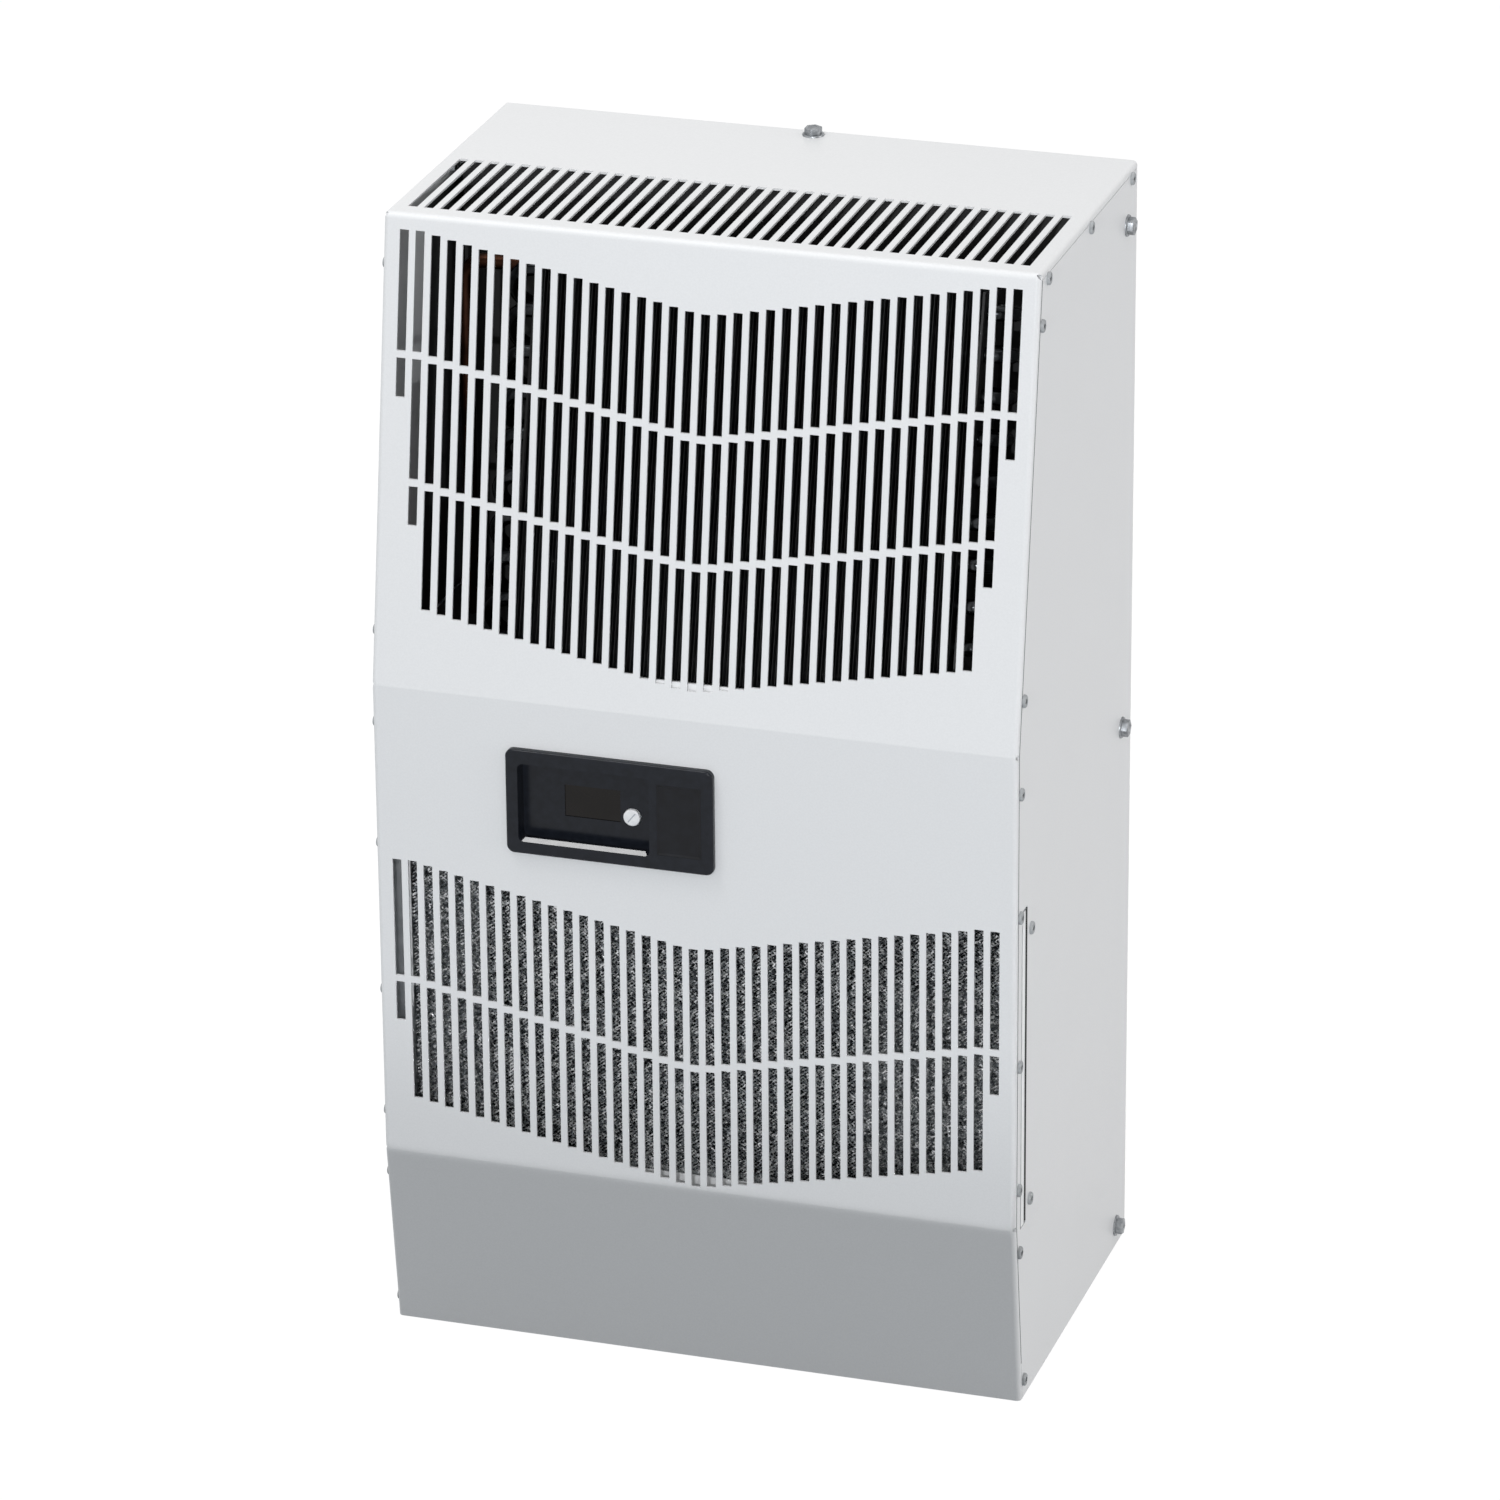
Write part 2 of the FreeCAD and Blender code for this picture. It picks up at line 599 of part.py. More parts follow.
def hex_bolt(name, start, axis, sign):
    """Bolt, washer and head stacked outwards from a point on a panel's face."""
    def along(distance, length):
        shift = f"+({distance})" if sign > 0 else f"-({distance})-({length})"
        return tuple(f"{text}{shift}" if letter == axis else text
                     for letter, text in zip("XYZ", start))
    return fuse(
        name,
        rod(f"{name}_washer", along("0", "washer"), "washer_radius", "washer", axis),
        hexagon(f"{name}_head", along("washer", "bolt_head_height"), "bolt_head",
                "bolt_head_height", axis),
        rod(f"{name}_shank", along("-bolt_length", "bolt_length"), "bolt_radius", "bolt_length",
            axis))


def ring_nut(name, start, radius, height, hole, axis):
    return cut(name, hexagon(f"{name}_flats", start, radius, height, axis),
               rod(f"{name}_hole", start, hole, height, axis))


def shroud_bolts():
    """Bolts that hold the shroud on the chassis, with the nuts welded inside."""
    bolts = []
    nuts = []
    hole = "bolt_radius+bolt_clearance"
    for i, (y, z) in enumerate(BOLT_PLACES):
        bolts.append(hex_bolt(f"left_bolt_{i}", (f"-{HALF}", y, z), "X", -1))
        bolts.append(hex_bolt(f"right_bolt_{i}", (HALF, y, z), "X", 1))
        inner = f"{SIDE}-chassis"
        nuts.append(ring_nut(f"left_nut_{i}", (f"-({inner})", y, z), "bolt_head", "nut_height",
                             hole, "X"))
        nuts.append(ring_nut(f"right_nut_{i}", (f"{inner}-nut_height", y, z), "bolt_head",
                             "nut_height", hole, "X"))
    top = ("0", f"{REAR}-top_bolt_inset")
    bolts.append(hex_bolt("top_bolt", (*top, "casing_height"), "Z", 1))
    nuts.append(ring_nut("top_nut", (*top, f"{ROOF}-chassis-nut_height"), "bolt_head",
                         "nut_height", hole, "Z"))
    keep(bundle("shroud_bolts", bolts), "shroud_bolts")
    keep(bundle("chassis_nuts", nuts), "chassis_nuts")


# chassis
def wall_bolt_places():
    across = f"{HALF}-wall_bolt_inset"
    heights = ("wall_bolt_end", "casing_height/2", "casing_height-wall_bolt_end")
    return [(f"{sign}({across})", height) for height in heights for sign in ("-", "")]


def guard_places():
    """Middles (x, z) of the inlet guard's four tabs, on its slanted bars."""
    return [(f"{a}{GUARD_REACH}", f"blower_height{b}{GUARD_REACH}") for a in "-+" for b in "-+"]


def back_plate():
    """Rear plate with turned flanges, an air inlet above and an air outlet below."""
    form = new_body("plate_form")
    outline = sketch_on(form, "outline", "XZ_Plane", f"-{REAR}")
    add_rectangle(outline, f"-{SIDE}", "0", SIDE, ROOF)
    depth = value("chassis_flange")
    roof = value(ROOF)

    def is_top_corner(edge):
        box = edge.BoundBox
        return box.YLength > depth - 0.01 and box.ZMin > roof - 0.01

    round_edges(form, pad(form, outline, "chassis_flange"), "edge_radius", is_top_corner)
    flange = f"{REAR}-chassis_flange"
    tools = [
        block("plate_room", (f"-{SIDE}+chassis", flange, "pan_height"),
              (f"{SIDE}-chassis", PLATE, f"{ROOF}-chassis")),
        block("plate_pan_room", (f"-{SIDE}", flange, "0"), (SIDE, PLATE, "pan_height")),
        rod("inlet_hole", ("0", PLATE, "blower_height"), "inlet_radius", "chassis", "Y"),
        block("outlet_hole", ("-outlet_width/2", PLATE, "outlet_low"),
              ("outlet_width/2", REAR, "outlet_high")),
        rod("bushing_hole", (f"{HALF}-bushing_side", PLATE, "bushing_height"),
            "bushing_barrel+bushing_play", "chassis", "Y"),
        rod("top_bolt_hole", ("0", f"{REAR}-top_bolt_inset", f"{ROOF}-chassis"),
            "bolt_radius+bolt_clearance", "chassis"),
    ]
    for i, (x, z) in enumerate(wall_bolt_places()):
        tools.append(rod(f"wall_hole_{i}", (x, PLATE, z), "wall_bolt_hole", "chassis", "Y"))
    for i, (x, z) in enumerate(guard_places()):
        tools.append(rod(f"guard_hole_{i}", (x, PLATE, z), "guard_screw+screw_clearance",
                         "chassis", "Y"))
    for i, (y, z) in enumerate(BOLT_PLACES[:2]):
        tools.append(rod(f"flange_hole_{i}", (f"-{SIDE}", y, z), "bolt_radius+bolt_clearance",
                         f"2*{SIDE}", "X"))
    tools.append(rod("flange_screw_hole", (f"-{SIDE}", *PLATE_SCREW),
                     "screw_shank+screw_clearance", f"2*{SIDE}", "X"))
    keep(cut("back_plate", form, *tools), "back_plate")


def mounting_nuts():
    """Nuts behind the rear plate's bolt holes; their threads are left plain."""
    nuts = [ring_nut(f"wall_nut_{i}", (x, f"{PLATE}-wall_nut_height", z), "wall_nut",
                     "wall_nut_height", "wall_bolt_hole", "Y")
            for i, (x, z) in enumerate(wall_bolt_places())]
    keep(bundle("mounting_nuts", nuts), "mounting_nuts")


def rear_gasket():
    """Foam frame round the rear plate with a bar between the two air openings."""
    across = f"({HALF}-gasket_inset)"
    ends = ("gasket_inset", "casing_height-gasket_inset")
    face = f"{REAR}+gasket"
    frame = cut(
        "gasket_frame",
        block("gasket_outer", (f"-{across}", REAR, ends[0]), (across, face, ends[1])),
        block("gasket_inner", (f"-{across}+gasket_width", REAR, f"{ends[0]}+gasket_width"),
              (f"{across}-gasket_width", face, f"{ends[1]}-gasket_width")))
    level = "(outlet_high+blower_height-inlet_radius)/2"
    bar = block("gasket_bar", (f"-{across}", REAR, f"{level}-gasket_width/2"),
                (across, face, f"{level}+gasket_width/2"))
    keep(fuse("rear_gasket", frame, bar), "rear_gasket")


DRAIN = (f"-{HALF}+drain_left", f"({COLD}+{PLATE})/2")


def base_pan():
    """Tray that closes the casing below and carries the compressor."""
    outer = block("pan_outer", (f"-{SIDE}", PAN_FRONT, "0"), (SIDE, PLATE, "pan_height"))
    room = block("pan_room", (f"-{SIDE}+chassis", f"{PAN_FRONT}+chassis", "chassis"),
                 (f"{SIDE}-chassis", f"{PLATE}-chassis", "pan_height"))
    y, z = BOLT_PLACES[2]
    tools = [room,
             rod("pan_bolt_hole", (f"-{SIDE}", y, z), "bolt_radius+bolt_clearance",
                 f"2*{SIDE}", "X"),
             rod("pan_screw_hole", (f"-{SIDE}", *PAN_SCREW), "screw_shank+screw_clearance",
                 f"2*{SIDE}", "X"),
             rod("pan_drain_hole", (*DRAIN, "0"), "coupling_radius+coupling_play", "chassis")]
    keep(cut("base_pan", outer, *tools), "base_pan")


def bulkhead():
    """Wall between the room-air side and the cold side, with foam on the cold side."""
    side = f"({SIDE}-chassis)"
    rear = f"{BULKHEAD}+sheet"
    wall = block("bulkhead_sheet", (f"-{side}", BULKHEAD, "chassis"), (side, rear, ROOF))
    foam = block("foam_sheet", (f"-{side}", rear, "pan_height"), (side, COLD, ROOF))
    level = "evaporator_low+tube_pitch/2"
    top = f"evaporator_low+({EVAPORATOR_LEVELS}-0.5)*tube_pitch"

    def pipe_holes(name, start, depth):
        return [rod(f"{name}_liquid", (LIQUID_X, start, level), "capillary_radius+pipe_play",
                    depth, "Y"),
                rod(f"{name}_suction", (f"-{HALF}+suction_left", start, top),
                    "pipe_radius+pipe_play", depth, "Y")]

    keep(cut("bulkhead", wall, *pipe_holes("wall", BULKHEAD, "sheet")), "bulkhead")
    motor = rod("foam_motor_hole", ("0", rear, "blower_height"), "blower_hole", "insulation", "Y")
    keep(cut("bulkhead_insulation", foam, motor, *pipe_holes("foam", rear, "insulation")),
         "bulkhead_insulation")


# filter
def air_filter():
    """Washable filter: a channel frame round a metal mesh, drawn out to the right."""
    frame = block("frame_outer", (FILTER_LEFT, FILTER_FRONT, FILTER_LOW),
                  (HALF, FILTER_REAR, FILTER_HIGH))
    window = (f"{FILTER_LEFT}+filter_rail", f"{HALF}-filter_rail", f"{FILTER_LOW}+filter_rail",
              f"{FILTER_HIGH}-filter_rail")
    left, right, low, high = window
    room = block("frame_room", (left, FILTER_FRONT, low), (right, FILTER_REAR, high))
    keep(cut("filter_frame", frame, room), "filter_frame")
    front = f"({FILTER_FRONT}+(filter_depth-mesh_depth)/2)"
    keep(block("filter_mesh", (left, front, low), (right, f"{front}+mesh_depth", high)),
         "filter_mesh")


def filter_guides():
    """Channels above and below the filter, each with a tab on the right side panel."""
    front = f"({FILTER_FRONT}-filter_play-guide_wall)"
    rear = f"({FILTER_REAR}+filter_play+guide_wall)"
    for label, sign, edge, place in (("lower_filter_guide", -1, FILTER_LOW, GUIDE_SCREWS[1]),
                                     ("upper_filter_guide", 1, FILTER_HIGH, GUIDE_SCREWS[0])):
        bottom = f"({edge}+({sign})*(filter_play+guide_wall))"
        lip = f"({edge}-({sign})*guide_lip)"
        floor = f"({edge}+({sign})*filter_play)"
        low, high = (bottom, lip) if sign < 0 else (lip, bottom)
        inner_low, inner_high = (floor, lip) if sign < 0 else (lip, floor)
        bar = block(f"{label}_bar", (f"-{SIDE}", front, low), (SIDE, rear, high))
        room = block(f"{label}_room", (f"-{SIDE}", f"{front}+guide_wall", inner_low),
                     (SIDE, f"{rear}-guide_wall", inner_high))
        y, z = place
        ends = (low, f"{z}+screw_inset") if sign < 0 else (f"{z}-screw_inset", high)
        tab = block(f"{label}_tab", (f"{SIDE}-sheet", f"{rear}-guide_wall", ends[0]),
                    (SIDE, f"{y}+screw_inset", ends[1]))
        hole = rod(f"{label}_hole", (f"{SIDE}-sheet", y, z), "screw_shank+screw_clearance",
                   "sheet", "X")
        channel = cut(f"{label}_channel", bar, room)
        keep(cut(label, fuse(f"{label}_joined", channel, tab), hole), label)


def filter_baffle():
    """Angle strip on the left panel that closes the gap beside the filter."""
    low = f"({FILTER_LOW}+guide_lip+filter_play)"
    high = f"({FILTER_HIGH}-guide_lip-filter_play)"
    face = block("baffle_face", (f"-{SIDE}", FILTER_FRONT, low),
                 (f"{FILTER_LEFT}-filter_play", f"{FILTER_FRONT}+guide_wall", high))
    leg = block("baffle_leg", (f"-{SIDE}", FILTER_FRONT, low),
                (f"-{SIDE}+guide_wall", FILTER_REAR, high))
    keep(fuse("filter_baffle", face, leg), "filter_baffle")


# control panel
def control_bezel():
    """Moulded frame with a deep display recess and a shallow one for a badge."""
    body = new_body("control_bezel")
    right = f"{BEZEL_LEFT}+bezel_width"
    low = f"{BEZEL_TOP}-bezel_height"

    def front_sketch(name, depth):
        return sketch_on(body, name, "XZ_Plane", f"-({depth})")

    face = front_sketch("face", FRONT)
    add_rectangle(face, BEZEL_LEFT, low, right, BEZEL_TOP)
    plate = pad(body, face, "bezel_proud")
    front = value(BEZEL_FRONT)

    def is_corner(edge):
        return edge.BoundBox.YLength > value("bezel_proud") - 0.01

    def is_front(edge):
        return edge.BoundBox.YMax < front + 0.01

    plate = round_edges(body, plate, "bezel_corner", is_corner)
    round_edges(body, plate, "bezel_edge", is_front)
    tray = front_sketch("tray", BEZEL_REAR)
    add_rectangle(tray, f"{RECESS_LEFT}-bezel_wall", f"{RECESS_TOP}-recess_height-bezel_wall",
                  f"{RECESS_LEFT}+recess_width+bezel_wall", f"{RECESS_TOP}+bezel_wall")
    pad(body, tray, f"{BEZEL_REAR}-({FRONT})")
    recess = front_sketch("recess", BEZEL_FRONT)
    add_rectangle(recess, RECESS_LEFT, f"{RECESS_TOP}-recess_height",
                  f"{RECESS_LEFT}+recess_width", RECESS_TOP)
    hollow = pocket(body, recess, "recess_depth")
    depth = value("recess_depth")

    def is_recess_corner(edge):
        box = edge.BoundBox
        return abs(box.YLength - depth) < 0.01 and box.YMin < front + 0.01

    round_edges(body, hollow, "recess_corner", is_recess_corner)
    badge = front_sketch("badge", BEZEL_FRONT)
    add_rectangle(badge, f"{right}-badge_right-badge_width", f"{BEZEL_TOP}-badge_drop-badge_height",
                  f"{right}-badge_right", f"{BEZEL_TOP}-badge_drop")
    pocket(body, badge, "badge_depth")
    holes = front_sketch("floor_holes", RECESS_FLOOR)
    add_rectangle(holes, *WINDOW)
    add_circle(holes, *BUTTON, "button_radius+button_play")
    pocket(body, holes, "bezel_wall")
    keep(body, "control_bezel")
    keep(block("badge_plate",
               (f"{right}-badge_right-badge_width", f"{BEZEL_FRONT}+badge_depth-badge_plate",
                f"{BEZEL_TOP}-badge_drop-badge_height"),
               (f"{right}-badge_right", f"{BEZEL_FRONT}+badge_depth", f"{BEZEL_TOP}-badge_drop")),
         "badge_plate")


WINDOW = (f"{RECESS_LEFT}+window_left", f"{RECESS_TOP}-window_drop-window_height",
          f"{RECESS_LEFT}+window_left+window_width", f"{RECESS_TOP}-window_drop")
BUTTON = (f"{RECESS_LEFT}+button_left", f"{RECESS_TOP}-button_drop")


def controller():
    """Controller behind the bezel, with its display window and its push button."""
    left, low, right, high = WINDOW
    keep(block("display_window", (left, f"{BEZEL_REAR}-window_depth", low),
               (right, BEZEL_REAR, high)), "display_window")
    case = block("case_solid", (f"{RECESS_LEFT}", BEZEL_REAR, f"{RECESS_TOP}-recess_height"),
                 (f"{RECESS_LEFT}+recess_width", f"{BEZEL_REAR}+controller_depth", RECESS_TOP))
    x, z = BUTTON
    button_front = f"{RECESS_FLOOR}-button_proud"
    well = rod("case_well", (x, BEZEL_REAR, z), "button_radius+button_play",
               "button_length+button_travel", "Y")
    keep(cut("controller_case", case, well), "controller_case")
    keep(rod("unit_button", (x, button_front, z), "button_radius", "button_length", "Y"),
         "unit_button")


# coils
def coil_slab(label, start, length, levels, place, tilt):
    """Finned block or end plate, bored for two rows of tubes."""
    body = new_body(label)
    section = sketch_on(body, "section", "YZ_Plane", start)
    add_rectangle(section, "0", "0", "2*row_pitch", f"{levels}*tube_pitch")
    pad(body, section, length)
    bores = sketch_on(body, "bores", "YZ_Plane")
    for middle in ("row_pitch/2", "3*row_pitch/2"):
        add_circle(bores, middle, "tube_pitch/2", "tube_radius+tube_fit")
    repeat(body, pocket(body, bores), (bores, ["V_Axis"]), "tube_pitch", levels)
    seat(body, place, tilt)
    keep(body, label)


def coil_tubes(label, left, right, levels, placement):
    """One tube that runs to and fro through both rows, with both ends at the left."""
    rows = [value("row_pitch/2"), value("3*row_pitch/2")]
    pitch = value("tube_pitch")
    start = value(f"{left}-bend_margin")
    end = value(f"{right}+bend_margin")
    tip = start - value("stub")

    def half_turn(one, other, outward):
        middle = (one + other) / 2 + Vector(outward, 0, 0) * (other - one).Length / 2
        return Part.Arc(one, middle, other).toShape()

    edges = []
    for level in range(levels):
        height = (level + 0.5) * pitch
        there = [Vector(tip if level == 0 else start, rows[0], height),
                 Vector(end, rows[0], height)]
        back = [Vector(end, rows[1], height),
                Vector(tip if level == levels - 1 else start, rows[1], height)]
        edges += [Part.makeLine(*there), half_turn(there[1], back[0], 1), Part.makeLine(*back)]
        if level < levels - 1:
            edges.append(half_turn(back[1], Vector(start, rows[0], height + pitch), -1))
    tubes = doc.addObject("Part::Feature", label)
    tubes.Shape = tube_solid(edges, value("tube_radius"), value("tube_wall"))
    tubes.Placement = placement
    keep(tubes, label)
    return [placement.multVec(edges[0].Vertexes[0].Point),
            placement.multVec(edges[-1].Vertexes[-1].Point)]


def coil(prefix, left, right, levels, place, tilt):
    """Fins, two end plates and tubes; returns the two ends of the tube."""
    coil_slab(f"{prefix}_fins", f"{left}+end_plate", f"{right}-({left})-2*end_plate", levels,
              place, tilt)
    coil_slab(f"{prefix}_left_plate", left, "end_plate", levels, place, tilt)
    coil_slab(f"{prefix}_right_plate", f"{right}-end_plate", "end_plate", levels, place, tilt)
    turn = Rotation(Vector(1, 0, 0), value(tilt))
    placement = Placement(Vector(*(value(text) for text in place)), turn)
    return coil_tubes(f"{prefix}_tubes", left, right, levels, placement)


def condenser():
    """Coil that leans back behind the upper grille and stands on the deck."""
    tilt = f"(atan({UPPER_SLOPE})/1deg+coil_extra_tilt)"
    angle = math.radians(value(tilt))
    room = value(f"{ROOF}-{DECK}-coil_headroom") - 2 * value("row_pitch") * math.sin(angle)
    levels = int(room / (value("tube_pitch") * math.cos(angle)))
    place = ("0", f"{FRONT}+coil_setback", f"{DECK}+2*row_pitch*sin({tilt}*1deg)")
    return coil("condenser", f"-{HALF}+coil_left", f"{HALF}-coil_right", levels, place, f"-{tilt}")


def coil_deck(pipe_ends):
    """Shelf under the condenser, its front edge turned up; two pipes pass through it."""
    low = f"({DECK}-sheet)"
    edge = f"({FRONT}+(deck_rise+deck_edge)*{UPPER_SLOPE}+sheet*{UPPER_LEAN}+deck_gap)"
    rear = f"({FAN_PLATE}+sheet)"
    behind = f"({FRONT}+flange_width*{UPPER_LEAN}+deck_gap+deck_rise*{UPPER_SLOPE})"
    pieces = [block("deck_front", (f"-{SIDE}+sheet", edge, low), (f"{SIDE}-sheet", rear, DECK)),
              block("deck_upturn", (f"-{SIDE}+sheet", edge, low),
                    (f"{SIDE}-sheet", f"{edge}+sheet", f"{DECK}+deck_edge")),
              block("deck_rear", (f"-{SIDE}", behind, low), (SIDE, rear, DECK))]
    for name, start, end in (("left", f"-{SIDE}", f"-{SIDE}+sheet"),
                             ("right", f"{SIDE}-sheet", SIDE)):
        pieces.append(block(f"deck_lip_{name}", (start, behind, f"{DECK}-deck_lip"),
                            (end, rear, DECK)))
    tools = [rod(f"deck_hole_{i}", (x, str(end.y), low), "pipe_radius+pipe_play", "sheet")
             for i, (x, end) in enumerate(zip((LIQUID_X, RISER_X), pipe_ends))]
    keep(cut("coil_deck", fuse("deck_bent", *pieces), *tools), "coil_deck")


FAN_Z = f"({DECK}+fan_height)"


def fan_plate():
    side = f"({SIDE}-fan_plate_side)"
    wall = block("fan_plate_sheet", (f"-{side}", FAN_PLATE, DECK),
                 (side, f"{FAN_PLATE}+sheet", ROOF))
    hole = rod("fan_orifice", ("0", FAN_PLATE, FAN_Z), "fan_radius+fan_play", "sheet", "Y")
    keep(cut("fan_plate", wall, hole), "fan_plate")


def condenser_fan():
    """Axial fan in the plate's orifice; its hub runs on the motor's shaft."""
    start = f"{FAN_PLATE}-fan_ahead-fan_hub_length/2"
    hub = rod("fan_hub_solid", ("0", start, FAN_Z), "fan_hub", "fan_hub_length", "Y")
    middle = Vector(0, value(f"{FAN_PLATE}-fan_ahead"), value(FAN_Z))
    blades = []
    for i in range(FAN_BLADES):
        blade = doc.addObject("Part::Box", f"fan_blade_{i}")
        bind(blade, "Length", "fan_radius-fan_hub/2")
        bind(blade, "Width", "fan_blade")
        bind(blade, "Height", "fan_chord")
        rest = Placement(Vector(value("fan_hub/2"), -value("fan_blade/2"), -value("fan_chord/2")),
                         Rotation())
        pitch = Placement(Vector(), Rotation(Vector(1, 0, 0), value("fan_pitch")))
        turn = Placement(middle, Rotation(Vector(0, 1, 0), i * 360 / FAN_BLADES))
        blade.Placement = turn * pitch * rest
        blades.append(blade)
    reach = "2*fan_chord"
    sweep = rod("fan_sweep", ("0", f"{FAN_PLATE}-fan_ahead-fan_chord", FAN_Z), "fan_radius",
                reach, "Y")
    trimmed = doc.addObject("Part::Common", "fan_trimmed")
    trimmed.Base = fuse("fan_whole", hub, *blades)
    trimmed.Tool = sweep
    bore = rod("fan_bore", ("0", f"{FAN_PLATE}-fan_ahead-fan_chord", FAN_Z),
               "shaft_radius+shaft_fit", reach, "Y")
    keep(cut("condenser_fan", trimmed, bore), "condenser_fan")


def condenser_motor():
    """Motor behind the fan on a bracket whose posts stand on the fan plate."""
    face = f"({FAN_PLATE}-fan_ahead+fan_hub_length/2+motor_gap)"
    rear = f"({face}+motor_length)"
    can = rod("motor_can", ("0", face, FAN_Z), "motor_radius", "motor_length", "Y")
    shaft = rod("motor_shaft", ("0", f"{face}-fan_hub_length-motor_gap", FAN_Z), "shaft_radius",
                "fan_hub_length+motor_gap", "Y")
    keep(fuse("condenser_motor", can, shaft), "condenser_motor")
    pieces = [rod("bracket_disc", ("0", rear, FAN_Z), "motor_radius", "bracket", "Y")]
    reach = "(fan_radius+fan_play+bracket_reach)"
    plate_rear = f"({FAN_PLATE}+sheet)"
    for i in range(BRACKET_ARMS):
        turn = Rotation(Vector(0, 1, 0), BRACKET_TURN + i * 360 / BRACKET_ARMS)
        centre = Vector(0, value(rear), value(FAN_Z))
        arm = doc.addObject("Part::Box", f"bracket_arm_{i}")
        bind(arm, "Length", f"{reach}+bracket_arm/2")
        bind(arm, "Width", "bracket")
        bind(arm, "Height", "bracket_arm")
        shift = Placement(Vector(0, 0, -value("bracket_arm/2")), Rotation())
        arm.Placement = Placement(centre, turn) * shift
        tip = centre + turn.multVec(Vector(value(reach), 0, 0))
        post = rod(f"bracket_post_{i}", (str(tip.x), plate_rear, str(tip.z)), "post_radius",
                   f"{rear}-{plate_rear}", "Y")
        pieces += [arm, post]
    keep(fuse("motor_bracket", *pieces), "motor_bracket")


# compressor and refrigerant pipes
def compressor():
    """Sealed compressor can on a three-cornered foot with rubber grommets."""
    base = f"({FOOT_LOW}+foot)"
    can = new_body("compressor_can")
    circle = sketch_on(can, "circle", "XY_Plane")
    add_circle(circle, "0", "0", "compressor_radius")
    solid = pad(can, circle, "compressor_height")
    round_edges(can, solid, "compressor_dome", lambda edge: edge.BoundBox.ZLength < 0.01)
    seat(can, (COMPRESSOR_X, COMPRESSOR_Y, base))
    hollow = rod("compressor_room", (COMPRESSOR_X, COMPRESSOR_Y, f"{base}+compressor_dome"),
                 "compressor_radius-compressor_wall", "compressor_height-2*compressor_dome")
    triangle = hexagon("foot_triangle", (COMPRESSOR_X, COMPRESSOR_Y, FOOT_LOW), "foot_reach",
                       "foot", sides=3)
    plate = doc.addObject("Part::Common", "foot_plate")
    plate.Base = triangle
    plate.Tool = rod("foot_round", (COMPRESSOR_X, COMPRESSOR_Y, FOOT_LOW), "foot_trim", "foot")
    places = []
    for i in range(3):
        turn = f"{i * 120}deg"
        places.append((f"{COMPRESSOR_X}+foot_circle*cos({turn})",
                       f"{COMPRESSOR_Y}+foot_circle*sin({turn})"))
    holes = [rod(f"foot_hole_{i}", (*place, FOOT_LOW), "stud_radius+stud_play", "foot")
             for i, place in enumerate(places)]
    shell = cut("compressor_shell", can, hollow)
    keep(fuse("compressor", shell, cut("compressor_foot", plate, *holes)), "compressor")
    grommets = []
    studs = []
    for i, place in enumerate(places):
        grommets.append(cut(
            f"grommet_{i}", rod(f"grommet_{i}_solid", (*place, "chassis"), "grommet_radius",
                                "grommet_height"),
            rod(f"grommet_{i}_hole", (*place, "chassis"), "stud_radius+stud_play",
                "grommet_height")))
        studs.append(fuse(
            f"stud_{i}", rod(f"stud_{i}_rod", (*place, "chassis"), "stud_radius",
                             "grommet_height+foot+stud_nut_height+stud_end"),
            hexagon(f"stud_{i}_nut", (*place, base), "stud_nut", "stud_nut_height")))
    keep(bundle("compressor_grommets", grommets), "compressor_grommets")
    keep(bundle("compressor_studs", studs), "compressor_studs")


ACCUMULATOR = (f"({COMPRESSOR_X}+compressor_radius+accumulator_gap+accumulator_radius)",
               f"({BULKHEAD}-accumulator_rear)")


def suction_accumulator():
    can = rod("accumulator_can", (*ACCUMULATOR, "accumulator_low"), "accumulator_radius",
              "accumulator_height")
    room = rod("accumulator_room", (*ACCUMULATOR, "accumulator_low+2*pipe_wall"),
               "accumulator_radius-2*pipe_wall", "accumulator_height-4*pipe_wall")
    keep(cut("suction_accumulator", can, room), "suction_accumulator")
    x, y = ACCUMULATOR
    low = "accumulator_low-accumulator_drop"
    gap = Vector(value(COMPRESSOR_X) - value(x), value(COMPRESSOR_Y) - value(y), 0)
    reach = gap.Length - value("compressor_radius")
    entry = Vector(value(x), value(y), value(low)) + gap.normalize() * reach
    bent_tube("suction_elbow", [(x, y, "accumulator_low"), (x, y, low),
                                tuple(str(part) for part in entry)], "pipe_radius")


